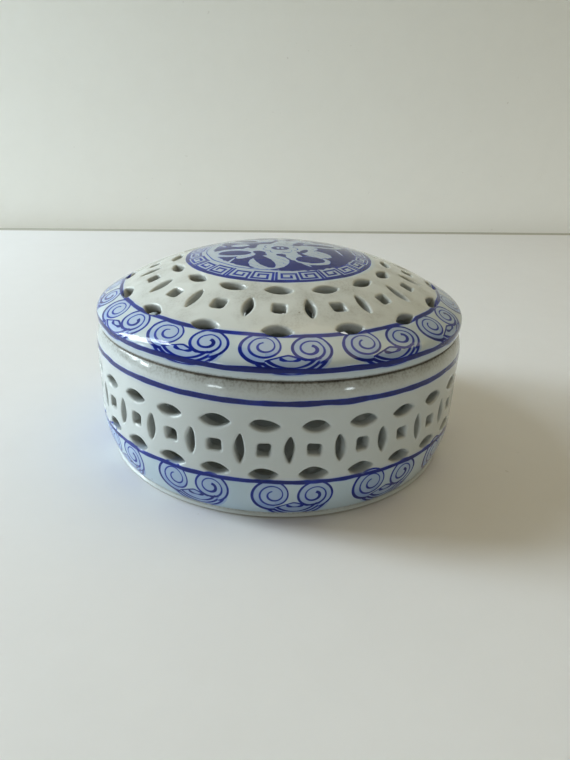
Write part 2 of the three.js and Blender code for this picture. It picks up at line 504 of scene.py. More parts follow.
@dataclass(frozen=True)
class Flower:
    """The flower of the medallion with its six leaves, left white in a cobalt ground."""

    eye: Flat = (0.4, -3.9)
    petals: int = 7
    leaves: tuple[Blot, ...] = (
        Blot((-2.6, -17.1), 6.2, 5.4, 5.0),
        Blot((-14.8, -7.2), 7.3, 4.1, -14.0),
        Blot((10.6, -14.2), 5.6, 3.5, 12.0),
        Blot((14.6, 5.4), 7.2, 4.2, 22.0),
        Blot((3.4, 14.2), 7.4, 4.7, 75.0),
        Blot((-11.8, 9.6), 7.3, 4.3, 138.0),
    )
    petal_tips: tuple[Blot, ...] = (
        Blot((-9.9, -11.6), 3.3, 1.8, 32.0),
        Blot((11.6, -7.6), 5.2, 3.4, -12.0),
        Blot((5.0, -12.4), 3.6, 2.6, -60.0),
        Blot((-4.2, 8.0), 3.6, 2.4, 70.0),
        Blot((8.4, 9.2), 3.4, 2.0, 35.0),
        Blot((-12.6, 1.2), 3.2, 1.9, 160.0),
        Blot((-8.4, -5.6), 4.4, 3.2, 70.0),
        Blot((8.6, -1.8), 3.9, 3.4, 10.0),
        Blot((2.4, 5.4), 3.8, 3.0, 20.0),
    )
    stems: tuple[Blot, ...] = (
        Blot((-14.6, -15.6), 3.6, 0.5, 62.0),
        Blot((8.2, -17.6), 2.6, 0.5, -38.0),
        Blot((19.2, -1.2), 3.6, 0.5, -70.0),
        Blot((10.6, 15.6), 3.4, 0.55, 60.0),
        Blot((-4.2, 18.2), 3.2, 0.55, 100.0),
        Blot((-18.6, 4.0), 3.0, 0.5, 120.0),
    )
    cores: tuple[Blot, ...] = (
        Blot((-4.0, -16.6), 5.3, 2.2, -58.0),
        Blot((-13.6, -7.8), 5.4, 2.3, -17.0),
        Blot((9.8, -13.8), 4.3, 2.6, 8.0),
        Blot((13.4, 4.2), 5.0, 1.9, 18.0),
        Blot((3.9, 13.4), 5.2, 2.1, 78.0),
        Blot((-11.2, 8.8), 5.1, 2.0, 135.0),
        Blot((-8.5, -2.2), 1.3, 1.7, 10.0),
        Blot((-6.1, -8.6), 2.0, 1.3, -30.0),
        Blot((0.9, -11.3), 1.6, 0.9, -12.0),
        Blot((7.9, -6.4), 1.0, 2.3, -22.0),
        Blot((5.9, 1.2), 1.5, 1.3, 30.0),
        Blot((-3.6, 3.4), 1.6, 1.2, -20.0),
    )
    ground_middle: Flat = (1.8, -0.7)
    ground: float = 22.4  # radius of the cobalt ground

    def group(self) -> Painter:
        """Builds the node group.

        Returns:
            A group with X, Y and Ripple, a small unevenness, in and with Paint, 1 on the cobalt, out.
        """
        sockets = {"X": "Float", "Y": "Float", "Ripple": "Float"}
        work = Painter.group("flower", sockets, {"Paint": "Float"})
        x, y, ripple = work.given("X"), work.given("Y"), work.given("Ripple")
        ex, ey = x - self.eye[0], y - self.eye[1]
        r, a = reach_of(ex, ey), bearing(ex, ey)
        lobe = abs((a * (self.petals / 2) + 0.4).cos())
        head = r.below(lobe * 2.4 + 6.2 + ripple, 0.3)
        edge = ripple * 0.16 + 1.0
        white = head
        for blots, soft in ((self.leaves, 0.12), (self.petal_tips, 0.2), (self.stems, 0.9)):
            white = white.most(self.union(blots, x, y).below(edge, soft))
        cores = self.union(self.cores, x, y).below(edge + ripple * 0.1, 0.2)
        disc = reach_of(x - self.ground_middle[0], y - self.ground_middle[1]).below(ripple + self.ground, 0.3)

        folds = abs(r - lobe * 1.3 - 4.3).below(0.1, 0.3) * abs((a * 3.0 + r).sin()).above(0.35, 0.4) * 0.7
        eye = abs(reach_of(ex / 1.25, ey) - 1.65).below(0.55, 0.3)
        slit = abs(ex).below(0.2, 0.3) * abs(ey).below(1.3, 0.4)
        veins = abs((x * 0.9 + y * 1.3 + ripple * 2.0).sin()).below(0.1, 0.16) * white * r.above(9.0, 1.0) * 0.3
        ink = cores.most(folds).most(eye).most(slit).most(veins)
        work.put("Paint", (disc * (1.0 - white)).most(ink * disc))
        return work

    def union(self, blots: "tuple[Blot, ...]", x: Number, y: Number) -> Number:
        """How far out of the nearest blot a place is, squared."""
        spread = blots[0].spread(x, y)
        for blot in blots[1:]:
            spread = spread.least(blot.spread(x, y))
        return spread


@dataclass(frozen=True)
class GlazeColours:
    """The porcelain's colours, as plain light."""

    body: Colour = (0.62, 0.65, 0.632)
    warm: Colour = (0.69, 0.67, 0.6)
    cool: Colour = (0.49, 0.62, 0.72)
    wash: Colour = (0.24, 0.36, 0.66)
    cobalt: Colour = (0.008, 0.029, 0.34)
    deep: Colour = (0.002, 0.008, 0.12)
    # Near black: darkens stained bare clay, and paints the shadow in the seam on the bare rims.
    soot_and_painted_shadow: Colour = (0.035, 0.032, 0.026)
    bare: Colour = (0.44, 0.42, 0.37)
    # Grey-brown of stains and dust, also used as painted shade inside the box, deep in the holes and on the lid's
    # band and medallion.
    grime_and_shade: Colour = (0.15, 0.135, 0.1)
    speck: Colour = (0.12, 0.09, 0.06)


@dataclass(frozen=True)
class PorcelainSkin:
    """What the glaze does to its painting: bleeding cobalt, tone, specks, stains and bare clay, with painted shade
    inside the box and deep in the holes, and painted shadow along the seam.

    Each scale is how fine that noise is, in spots for each metre.
    """

    colours: GlazeColours = GlazeColours()
    tone_scale: float = 28.0
    load_scale: float = 160.0  # of the cobalt on the brush
    fine_scale: float = 900.0
    speck_scale: float = 170.0
    dust_scale: float = 1500.0
    crumb_scale: float = 70.0
    wave_scale: float = 75.0
    peel_scale: float = 240.0

    def group(self) -> Painter:
        """Builds the node group.

        Returns:
            A group with the painted masks in and with Color, Roughness and Height out.
        """
        inputs = {"Place": "Vector"}
        inputs |= {label: "Float" for label in ("Line", "Wash", "Cool", "Shade", "Stains And Painted Shadow", "Bare", "Depth")}
        work = Painter.group("porcelain_skin", inputs, {"Color": "Color", "Roughness": "Float", "Height": "Float"})
        c = self.colours
        place = work.source.outputs["Place"]
        tone = work.noise(place, self.tone_scale, 3.0)
        load = work.noise(place, self.load_scale, 3.0, 0.6)
        fine = work.noise(place, self.fine_scale, 2.0)
        line, wash = work.given("Line"), work.given("Wash")
        cool, depth, bare = work.given("Cool"), work.given("Depth"), work.given("Bare")

        glaze = work.blend(cool * (tone * 0.5 + 0.7), c.body, c.cool)
        glaze = work.blend(tone.above(0.55, 0.35) * 0.22, glaze, c.warm)
        # Painted shade: darkens the glaze inside the box, a little on the lid's band, and more on its medallion.
        glaze = work.blend(work.given("Shade"), glaze, c.grime_and_shade)
        glaze = work.blend(wash * (load * 0.5 + 0.42), glaze, c.wash)
        ink = line * (load * 1.25 + 0.5)
        glaze = work.blend(ink.above(0.25, 0.5) * 0.9, glaze, c.wash)
        glaze = work.blend(ink.above(0.46, 0.4), glaze, c.cobalt)
        glaze = work.blend(ink.above(1.06, 0.5) * 0.85, glaze, c.deep)

        specks = work.tree.nodes.new("ShaderNodeTexVoronoi")
        work.tree.links.new(place, specks.inputs["Vector"])
        specks.inputs["Scale"].default_value = self.speck_scale
        rare = Number(work.tree, specks.outputs["Distance"]).below(0.05, 0.03)
        chosen = work.split(specks.outputs["Color"])[0].above(0.8, 0.01)
        glaze = work.blend(rare * chosen * 0.6, glaze, c.speck)
        dust = work.noise(place, self.dust_scale, 1.0).above(0.56, 0.16)
        # Stains and dust, plus painted shadow along the seam between lid and bowl, and a darker band along the
        # foot's groove.
        dirt_and_painted_shadow = work.given("Stains And Painted Shadow") * (load.above(0.44, 0.4) * 0.7 + dust * 0.45 + 0.12)
        corner = depth.above(0.3, 0.5) * depth.below(0.95, 0.4)
        crumbs = work.noise(place, self.crumb_scale, 4.0, 0.7).above(0.54, 0.12) * corner * 0.45
        dirt_and_painted_shadow = dirt_and_painted_shadow.most(crumbs).kept(0.0, 1.0)
        glaze = work.blend(dirt_and_painted_shadow * 0.62, glaze, c.grime_and_shade)
        # Painted shade: the hole walls grow darker deeper in.
        glaze = work.blend(depth.above(0.55, 0.7) * 0.2, glaze, c.grime_and_shade)
        # Bare clay, blackened where stained and where the seam's shadow is painted.
        clay = work.blend(dirt_and_painted_shadow * 0.9, work.blend(fine * 0.6, c.bare, c.grime_and_shade), c.soot_and_painted_shadow)
        work.put("Color", work.blend(bare, glaze, clay))
        smooth = tone * 0.04 + 0.02 + dirt_and_painted_shadow * 0.12 + fine * 0.02
        work.put("Roughness", smooth + bare * 0.6)
        waves = work.noise(place, self.wave_scale, 2.0) * 0.16
        peel = work.noise(place, self.peel_scale, 1.0) * 0.085
        grain = fine * bare * 0.06
        work.put("Height", waves + peel + grain - rare * chosen * 0.03)
        return work


@dataclass
class PaintBox:
    """The shared node groups, built once."""

    cloud: Painter = field(init=False)
    flower: Painter = field(init=False)
    skin: Painter = field(init=False)

    def __post_init__(self) -> None:
        """Builds the groups."""
        self.cloud = ScrollCloud().group()
        self.flower = Flower().group()
        self.skin = PorcelainSkin().group()


@dataclass(frozen=True)
class CloudRing:
    """A ring of evenly spaced clouds round the box."""

    count: int
    phase: float  # degrees from the front to one of them
    reach: float  # millimetres of motif for each radian
    load: float = 0.0  # how much wider the strokes are
    lift: float = 0.0  # how much higher than the one near the front the others sit

    def place(self, work: Painter, paints: PaintBox, turn: Number, height: Number) -> tuple[Number, Number]:
        """Paints the ring.

        Args:
            work: The material's painter.
            paints: The shared groups.
            turn: Angle from the front, in radians.
            height: The motif's own height, in millimetres.

        Returns:
            Line and wash.
        """
        step = math.tau / self.count
        shifted = turn - math.radians(self.phase)
        count = (shifted / step).nearest()
        first, second, third = work.chance(count + self.phase)
        x = (shifted - count * step) * self.reach * (first * 0.08 + 0.96) + (second - 0.5) * 0.7
        y = height + (third - 0.5) * 0.4 + x * (second - 0.5) * 0.05 - abs(count).kept(0.0, 1.0) * self.lift
        node = work.use(paints.cloud, X=x, Y=y, Load=self.load)
        return work.out(node, "Line"), work.out(node, "Wash")


@dataclass
class PorcelainFinish:
    """A painted and glazed surface; each body paints its own ornament."""

    name: str
    bump: float = 0.35
    wobble_scale: float = 130.0  # how fine the hand's unsteadiness is, in spots for each metre
    second_scale: float = 95.0

    def material(self, paints: PaintBox) -> bpy.types.Material:
        """Builds the material.

        Args:
            paints: The shared groups.

        Returns:
            The material.
        """
        material = bpy.data.materials.new(self.name)
        material.use_nodes = True
        tree = material.node_tree
        shader = tree.nodes["Principled BSDF"]
        shader.inputs["IOR"].default_value = 1.5
        shader.inputs["Specular IOR Level"].default_value = 0.36
        work = Painter(tree)
        coordinates = tree.nodes.new("ShaderNodeTexCoord")
        scale = tree.nodes.new("ShaderNodeVectorMath")
        scale.operation = "SCALE"
        scale.inputs["Scale"].default_value = 1 / MM
        place = coordinates.outputs["Object"]
        tree.links.new(place, scale.inputs[0])
        x, y, z = work.split(scale.outputs[0])
        wobble = work.noise(place, self.wobble_scale, 2.0) - 0.5
        second = work.noise(place, self.second_scale, 1.0) - 0.5
        masks = self.ornament(work, paints, x, y, z, wobble, second)
        skin = work.use(paints.skin, Place=place, Depth=work.attribute("hole_depth"), **masks)
        tree.links.new(skin.outputs["Color"], shader.inputs["Base Color"])
        tree.links.new(skin.outputs["Roughness"], shader.inputs["Roughness"])
        bump = tree.nodes.new("ShaderNodeBump")
        bump.inputs["Strength"].default_value = self.bump
        bump.inputs["Distance"].default_value = MM
        tree.links.new(skin.outputs["Height"], bump.inputs["Height"])
        tree.links.new(bump.outputs[0], shader.inputs["Normal"])
        return material

    def ornament(
        self, work: Painter, paints: PaintBox, x: Number, y: Number, z: Number, wobble: Number, second: Number
    ) -> dict[str, Number]:
        """Paints the ornament.

        Args:
            work: The material's painter.
            paints: The shared groups.
            x: Across the box, in millimetres.
            y: Away from the front, in millimetres.
            z: Above the table, in millimetres.
            wobble: Noise about 0 for the hand's unsteadiness.
            second: More of it.

        Returns:
            The skin group's masks by name.
        """
        raise NotImplementedError


@dataclass
class BowlPainting(PorcelainFinish):
    """Two blue lines, clouds between the lower one and the foot, dust and stains at the seam, bare foot and ledge,
    painted shadow on the ledge in the seam, and painted shade inside.
    """

    upper_line: float = 37.3
    lower_line: float = 13.85
    heel: float = 1.5  # height at which the painting ends
    outer_face: float = 57.0  # radius outside which the wall is painted
    ledge: float = 42.3  # height above which the clay is bare
    collar: float = 53.4  # radius inside which it is glazed again
    shoulder: float = 58.2  # radius outside which dust and stains have gathered
    clouds: CloudRing = CloudRing(13, 5.6, 58.5, 0.03, 0.85)

    def ornament(
        self, work: Painter, paints: PaintBox, x: Number, y: Number, z: Number, wobble: Number, second: Number
    ) -> dict[str, Number]:
        """See PorcelainFinish.ornament."""
        radius = reach_of(x, y)
        turn = bearing(-1.0 * y, x)
        outside = radius.above(self.outer_face, 0.1)
        line, wash = self.clouds.place(work, paints, turn, z + wobble * 0.5)
        upper = abs(z - self.upper_line + second * 0.7).below(wobble * 0.6 + 0.72, 0.34) * 1.2
        lower = abs(z - self.lower_line + second * 0.9).below(wobble * 0.8 + 0.58, 0.34) * 1.08
        low = z.below(self.lower_line + 0.3, 0.5) * z.above(self.heel, 0.5)
        brushed = z.below(self.lower_line + 2.2, 0.5) * z.above(self.heel, 0.5)
        line = (line * brushed).most(upper).most(lower) * outside * (1.0 - work.attribute("hole_depth"))
        ledge = z.above(self.ledge, 0.2) * radius.above(self.collar, 0.6)
        foot = z.below(0.4, 0.3) * radius.above(53.0, 0.3)
        seam = z.above(40.4, 3.4) * radius.above(self.shoulder, 0.8)
        # A darker band along the groove above the foot ring.
        heel = abs(z - 1.4).below(0.25, 0.25) * 0.9
        # Dust on the upper shoulder, and painted shadow on the ledge's outer part, in the seam under the lid's
        # edge.
        settled_and_painted_shadow = (z.above(37.5, 5.0) * 0.25).most(ledge * radius.above(58.5, 0.5) * 1.3)
        halo = abs(z - self.upper_line).below(0.9, 1.8).most(abs(z - self.lower_line).below(0.8, 1.4)) * 0.4
        return {
            "Line": line,
            "Wash": (wash * brushed).most(halo) * outside,
            "Cool": low * outside + 0.3,
            # Painted shade: the inner faces are darkened so that the box looks dark through its holes.
            "Shade": radius.below(self.outer_face + 0.1, 0.3) * z.above(3.5, 1.0) * 0.3,
            "Stains And Painted Shadow": seam.most(heel).most(settled_and_painted_shadow),
            "Bare": ledge.most(foot),
        }


@dataclass
class LidPainting(PorcelainFinish):
    """The medallion, the cloud band with its two lines, and the bare rim, with painted shade on the band, the
    medallion and the inner faces, and painted shadow on the lower edge along the seam.
    """

    run_scale: float = 0.86
    medallion: float = 29.4
    medallion_middle: Flat = (-0.9, -0.5)
    fret_turn: float = 0.11
    inner_line: float = 51.2
    lower_line: float = 10.65  # run from the inner line
    thin_line: float = 23.1
    frieze: Flat = (24.1, 29.1)  # radii between which the key fret runs
    pierced: Flat = (30.4, 50.6)
    edge_radius: float = 57.5
    band_height: float = 44.6
    bare_height: float = 43.0  # below which the rim is bare
    clouds: CloudRing = CloudRing(13, 3.2, 52.6, 0.07)
    fret: KeyFret = KeyFret()

    def ornament(
        self, work: Painter, paints: PaintBox, x: Number, y: Number, z: Number, wobble: Number, second: Number
    ) -> dict[str, Number]:
        """See PorcelainFinish.ornament."""
        radius = reach_of(x, y)
        turn = bearing(-1.0 * y, x)
        outside = work.attribute("outside")
        run = work.attribute("run")
        height = 13.86 - run / self.run_scale
        line, wash = self.clouds.place(work, paints, turn, height + wobble * 0.5)
        band = radius.above(self.inner_line - 0.4, 0.4) * z.above(self.band_height, 0.3)
        inner = abs(radius - self.inner_line + second * 0.9).below(wobble * 0.5 + 0.5, 0.34) * 1.06
        lower = abs(run - self.lower_line + second * 0.7).below(wobble * 0.5 + 0.72, 0.3) * 1.35
        mx, my = x - self.medallion_middle[0], y - self.medallion_middle[1]
        disc_radius = reach_of(mx, my)
        front = my.below(-8.0, 24.0) * 0.1
        ring = abs(disc_radius - self.medallion + second * 0.4).below(front + wobble * 0.3 + 0.45, 0.3) * 1.1
        thin = abs(disc_radius - self.thin_line + second * 1.2).below(0.14, 0.3) * 0.85
        frieze = disc_radius.above(self.frieze[0], 0.2) * disc_radius.below(self.frieze[1], 0.2)
        key = self.fret.line(disc_radius, bearing(-1.0 * my, mx) - self.fret_turn) * frieze * 0.95
        ripple = work.noise(work.joined(mx, my, 0.0), 0.55, 1.0) - 0.5
        bloom = work.use(paints.flower, X=mx + wobble * 0.5, Y=my + second * 0.5, Ripple=ripple * 1.6)
        ground = work.out(bloom, "Paint") * (second * 0.5 + 1.55)
        rim_line = lower * radius.above(self.edge_radius, 0.3)
        line = (line * band).most(inner).most(rim_line).most(ring).most(thin).most(key).most(ground) * outside
        tint = (wash * 0.9 * band).most(disc_radius.below(29.0, 0.2) * 0.28) * outside
        halo = abs(radius - self.inner_line).below(0.7, 1.2).most(abs(run - self.lower_line).below(0.9, 1.4))
        tint = tint.most(halo * 0.4 * outside)
        bare = z.below(self.bare_height, 0.15)
        pierced = radius.above(self.pierced[0], 1.0) * radius.below(self.pierced[1], 1.0)
        # Painted shadow: the lid's lower edge is darkened along the seam with the bowl.
        edge = z.below(self.bare_height + 0.45, 0.5) * 1.5
        disc = disc_radius.below(self.medallion, 0.4)
        inside = (1.0 - outside) * work.attribute("hole_depth").below(0.2, 0.2)
        worn = work.noise(work.joined(x, y, z), 0.11, 3.0).above(0.53, 0.2)
        return {
            "Line": line,
            "Wash": tint,
            "Cool": (1.0 - pierced) * outside * 0.6 + 0.1,
            # Painted shade: a little on the band, more on the medallion, and on the inner faces.
            "Shade": (band * 0.08).most(disc * 0.28).most(inside * 0.3),
            "Stains And Painted Shadow": (worn * pierced * 0.5).most(edge),
            "Bare": bare,
        }


# ---------------------------------------------------------------- profile curves


def bend(start: Flat, corner: Flat, end: Flat, steps: int) -> list[Flat]:
    """Points of a curve that is pulled towards a corner.

    Args:
        start: First point, as radius and height.
        corner: The point the curve is pulled to.
        end: Last point.
        steps: Number of stretches.

    Returns:
        steps + 1 points, both ends among them.
    """
    points = []
    for i in range(steps + 1):
        t = i / steps
        a, b, c = (1 - t) ** 2, 2 * t * (1 - t), t * t
        points.append(tuple(a * p + b * q + c * r for p, q, r in zip(start, corner, end)))
    return points


def cubic(start: Flat, first: Flat, second: Flat, end: Flat, steps: int) -> list[Flat]:
    """Points of a curve with two pull points.

    Args:
        start: First point, as radius and height.
        first: Pull point of the start.
        second: Pull point of the end.
        end: Last point.
        steps: Number of stretches.

    Returns:
        steps + 1 points, both ends among them.
    """
    points = []
    for i in range(steps + 1):
        t = i / steps
        weights = ((1 - t) ** 3, 3 * t * (1 - t) ** 2, 3 * t * t * (1 - t), t**3)
        points.append(tuple(sum(w * p[k] for w, p in zip(weights, (start, first, second, end))) for k in (0, 1)))
    return points


def spread(start: Flat, end: Flat, steps: int) -> list[Flat]:
    """Evenly spaced points of a straight line.

    Args:
        start: First point.
        end: Last point.
        steps: Number of stretches.

    Returns:
        steps + 1 points, both ends among them.
    """
    return [tuple(a + (b - a) * i / steps for a, b in zip(start, end)) for i in range(steps + 1)]


# ---------------------------------------------------------------- pierced wall


@dataclass(frozen=True)
class Hole:
    """One opening, laid out flat in millimetres.

    A hole on a border belongs half to this sector and half to the next one.
    """

    kind: HoleKind
    centre: Flat
    width: float
    height: float
    turn: float = 0.0  # about its own centre, in radians
    squeeze: float = 1.0  # of its height, where the wall slopes away from the plan
    side: Side = Side.WHOLE
    corner: float = 0.75  # rounding of a square's corners
    tip: float = 0.3  # rounding of a petal's tips
    arc_steps: int = 9

    def seed(self) -> list[tuple[Flat, float]]:
        """Outline points, each with the direction in which the hole grows there.

        Returns:
            Points about the hole's own centre, anticlockwise from the end of its long axis, with directions.
        """
        if self.kind is HoleKind.SQUARE:
            return self._square_seed()
        return self._petal_seed()

    def _square_seed(self) -> list[tuple[Flat, float]]:
        """The outline of a square with rounded corners, drawn in by their rounding."""
        half = (self.width / 2 - self.corner, self.height / 2 - self.corner)
        points: list[tuple[Flat, float]] = []
        for quarter, (sx, sy) in enumerate(((1, 1), (-1, 1), (-1, -1), (1, -1))):
            place = (sx * half[0], sy * half[1])
            points += [(place, math.radians(90 * quarter + 22.5 * k)) for k in range(5)]
            following = ((-1, 1), (-1, -1), (1, -1), (1, 1))[quarter]
            goal = (following[0] * half[0], following[1] * half[1])
            points += [(p, math.radians(90 * (quarter + 1))) for p in spread(place, goal, 3)[1:-1]]
        return points

    def _petal_seed(self) -> list[tuple[Flat, float]]:
        """The outline of a petal, drawn in by the rounding of its tips."""
        upright = self.height > self.width
        long, short = max(self.width, self.height), min(self.width, self.height)
        radius = (long * long + short * short) / (4 * short)
        back = radius - short / 2
        inner = radius - self.tip
        reach = math.sqrt(inner * inner - back * back)
        fan = math.atan2(back, reach)
        points: list[tuple[Flat, float]] = [((reach, 0.0), k * fan / 2) for k in range(3)]
        for k in range(1, self.arc_steps):
            angle = fan + (math.pi - 2 * fan) * k / self.arc_steps
            points.append(((inner * math.cos(angle), inner * math.sin(angle) - back), angle))
        points += [((-reach, 0.0), math.pi - k * fan / 2) for k in (2, 1)]
        half = points[1:]
        points.append(((-reach, 0.0), math.pi))
        points += [((-p[0], -p[1]), a + math.pi) for p, a in half]
        if upright:
            points = [((-p[1], p[0]), a + math.pi / 2) for p, a in points]
        return points

    def loop(self, grow: float) -> list[Flat]:
        """The outline, grown on all sides.

        Args:
            grow: How far, in millimetres.

        Returns:
            Points in the sector's flat layout. A hole on a border gives only its half inside the sector.
        """
        own = self.corner if self.kind is HoleKind.SQUARE else self.tip
        points = []
        for (x, y), angle in self.seed():
            x += (own + grow) * math.cos(angle)
            y = (y + (own + grow) * math.sin(angle)) * self.squeeze
            c, s = math.cos(self.turn), math.sin(self.turn)
            points.append((self.centre[0] + c * x - s * y, self.centre[1] + s * x + c * y))
        if self.side is Side.WHOLE:
            return points
        middle = len(points) // 2
        if self.side is Side.RIGHT_BORDER:
            return points[: middle + 1]
        return points[middle:] + points[:1]


class Wall:
    """A curved wall that holes are laid out on: turns a flat place and a depth into a place in the box."""

    def place(self, x: float, y: float, depth: float) -> Solid:
        """Gives the place in the box.

        Args:
            x: Across the sector, in millimetres.
            y: Along the wall, in millimetres.
            depth: Below the outer face, in millimetres.

        Returns:
            Place in millimetres.
        """
        raise NotImplementedError


@dataclass
class RoundWall(Wall):
    """The bowl's upright wall, rolled out flat."""

    radius: float
    outline: Callable[[float], float]

    def place(self, x: float, y: float, depth: float) -> Solid:
        """See Wall.place; y is the height above the table."""
        angle = FRONT + x / self.radius
        reach = self.outline(y) - depth
        return reach * math.cos(angle), reach * math.sin(angle), y


@dataclass
class DomeWall(Wall):
    """The lid's dome, seen from straight above."""

    outline: Callable[[float], float]

    def place(self, x: float, y: float, depth: float) -> Solid:
        """See Wall.place; x and y are measured from the box's axis, y towards the front."""
        reach = math.hypot(x, y)
        angle = FRONT + math.atan2(x, y)
        step = 0.05
        slope = (self.outline(reach + step) - self.outline(reach - step)) / (2 * step)
        size = math.hypot(1.0, slope)
        out, up = -slope / size, 1 / size
        height = self.outline(reach) - depth * up
        reach -= depth * out
        return reach * math.cos(angle), reach * math.sin(angle), height


@dataclass
class Sector:
    """One repeat of a pierced body: its piece of the pierced wall and of everything above and below.

    The four sides of the pierced part are given as flat points. The left and right borders mirror each other,
    so that neighbouring sectors meet point to point.
    """

    name: str
    wall: Wall
    thickness: float
    holes: list[Hole]
    low_edge: list[Flat]  # left to right
    high_edge: list[Flat]  # left to right
    border: Callable[[float], Flat]  # right border's point at a share of its length from the low edge
    mirror: Callable[[Flat], Flat]
    trace: Callable[[float, float], Flat]  # radius and height to: 1 on the outside, run along the outside
    lip: float = 0.68
    inner_lip: float = 0.5
    skirt: float = 0.35
    grid: float = 1.6
    bm: bmesh.types.BMesh = field(default_factory=bmesh.new)

    def __post_init__(self) -> None:
        """Adds the attributes that the finishes and the hand-cut warp read."""
        self.pierced = self.bm.verts.layers.float.new("pierced")
        self.depth = self.bm.verts.layers.float.new("hole_depth")
        self.outside = self.bm.verts.layers.float.new("outside")
        self.run = self.bm.verts.layers.float.new("run")

    def vertex(self, place: Solid, pierced: float, depth: float) -> bmesh.types.BMVert:
        """Adds one point.

        Args:
            place: In millimetres.
            pierced: 1 where the wall is pierced, 0 elsewhere.
            depth: 0 on a face of the wall, 1 inside a hole.

        Returns:
            The new point.
        """
        vert = self.bm.verts.new(Vector(place) * MM)
        vert[self.pierced] = pierced
        vert[self.depth] = depth
        vert[self.outside], vert[self.run] = self.trace(math.hypot(place[0], place[1]), place[2])
        return vert

    def rings(self) -> list[tuple[float, float, float]]:
        """How a hole's wall runs from the outer face to the inner one.

        Returns:
            For each ring of points: growth of the outline, depth below the outer face, and hole depth from 0 to 1.
        """
        rings = [(self.lip + self.skirt, 0.0, 0.0), (self.lip, 0.0, 0.05)]
        for k in range(1, 6):
            a = math.radians(18 * k)
            rings.append((self.lip * (1 - math.sin(a)), self.lip * (1 - math.cos(a)), 0.05 + 0.19 * k))
        rings.append((0.0, (self.lip + self.thickness - self.inner_lip) / 2, 1.0))
        for k in range(3, -1, -1):
            a = math.radians(30 * k)
            down = self.inner_lip * (1 - math.cos(a))
            rings.append((self.inner_lip * (1 - math.sin(a)), self.thickness - down, 0.4 + 0.2 * k))
        return rings

    def _border_points(self, grow: float) -> list[Flat]:
        """The right border from the low edge to the high one, round the half hole that lies on it."""
        hole = next(h for h in self.holes if h.side is Side.RIGHT_BORDER)
        low, high = self.border(0.0), self.border(1.0)
        loop = hole.loop(grow)
        if math.dist(loop[0], low) > math.dist(loop[-1], low):
            loop.reverse()
        return [*spread(low, loop[0], 3)[1:-1], *loop, *spread(loop[-1], high, 3)[1:-1]]

    def face(self, grow: float, depth: float, grid: float, outwards: bool) -> None:
        """Adds one face of the pierced wall, with its holes left open.

        Args:
            grow: How far the holes' outlines are grown here.
            depth: Below the outer face.
            grid: Spacing of the points between the holes.
            outwards: Whether the face looks out of the box.
        """
        right = self._border_points(grow)
        left = [self.mirror(p) for p in right]
        rim = [*self.low_edge, *right, *reversed(self.high_edge), *reversed(left)]
        loops = [h.loop(grow) for h in self.holes if h.side is Side.WHOLE]
        points = list(rim)
        edges = [(i, (i + 1) % len(rim)) for i in range(len(rim))]
        for loop in loops:
            first = len(points)
            points += loop
            edges += [(first + i, first + (i + 1) % len(loop)) for i in range(len(loop))]
        fixed = list(points)
        xs, ys = [p[0] for p in rim], [p[1] for p in rim]
        row, y = 0, min(ys) + grid
        while y < max(ys):
            x = min(xs) + (grid / 2 if row % 2 else grid)
            while x < max(xs):
                spot = (x, y)
                clear = min((p[0] - x) ** 2 + (p[1] - y) ** 2 for p in fixed) > (CLEARANCE * grid) ** 2
                if clear and inside(spot, rim) and not any(inside(spot, loop) for loop in loops):
                    points.append(spot)
                x += grid
            y += grid * ROW_STEP
            row += 1
        flat, _, triangles, *_ = delaunay_2d_cdt([Vector(p) for p in points], edges, [], 0, 1e-6)
        verts = [self.vertex(self.wall.place(p.x, p.y, depth), 1.0, 0.0) for p in flat]
        for triangle in triangles:
            a, b, c = (flat[i] for i in triangle)
            middle = ((a.x + b.x + c.x) / 3, (a.y + b.y + c.y) / 3)
            sliver = abs((b - a).cross(c - a)) < SLIVER
            if sliver or not inside(middle, rim) or any(inside(middle, loop) for loop in loops):
                continue
            self.bm.faces.new([verts[i] for i in (triangle if outwards else reversed(triangle))])

    def hole_walls(self) -> None:
        """Adds the rounded lips and the walls of all the sector's holes."""
        for hole in self.holes:
            closed = hole.side is Side.WHOLE
            previous: list[bmesh.types.BMVert] = []
            for grow, depth, share in self.rings():
                loop = hole.loop(grow)
                ring = [self.vertex(self.wall.place(*p, depth), 1.0, share) for p in loop]
                if previous:
                    self.strip(previous, ring, closed)
                previous = ring

    def strip(self, one: list[bmesh.types.BMVert], two: list[bmesh.types.BMVert], closed: bool = False) -> None:
        """Joins two rows of points with four-sided faces.

        Args:
            one: First row.
            two: Second row, of the same length.
            closed: Whether the rows are rings.
        """
        count = len(one)
        for i in range(count if closed else count - 1):
            j = (i + 1) % count
            self.bm.faces.new((one[i], one[j], two[j], two[i]))

    def band(self, profile: Sequence[Flat], angles: Sequence[float]) -> None:
        """Adds a turned band next to the pierced wall, or a closed cap where the profile ends on the axis.

        Args:
            profile: Points as radius and height, the first one on the pierced wall's edge.
            angles: Directions of the columns.
        """
        previous: list[bmesh.types.BMVert] = []
        for radius, height in profile:
            if radius < 1e-6:
                tip = self.vertex((0.0, 0.0, height), 0.0, 0.0)
                for i in range(len(angles) - 1):
                    self.bm.faces.new((previous[i], previous[i + 1], tip))
                return
            row = [self.vertex((radius * math.cos(a), radius * math.sin(a), height), 0.0, 0.0) for a in angles]
            if previous:
                self.strip(previous, row)
            previous = row

    def finish(self) -> bpy.types.Object:
        """Merges the parts of the sector.

        Returns:
            The sector as an object that the ring is repeated from.
        """
        bmesh.ops.remove_doubles(self.bm, verts=self.bm.verts, dist=1e-6)
        mesh = bpy.data.meshes.new(self.name)
        self.bm.to_mesh(mesh)
        self.bm.free()
        thing = bpy.data.objects.new(self.name, mesh)
        bpy.context.collection.objects.link(thing)
        return thing


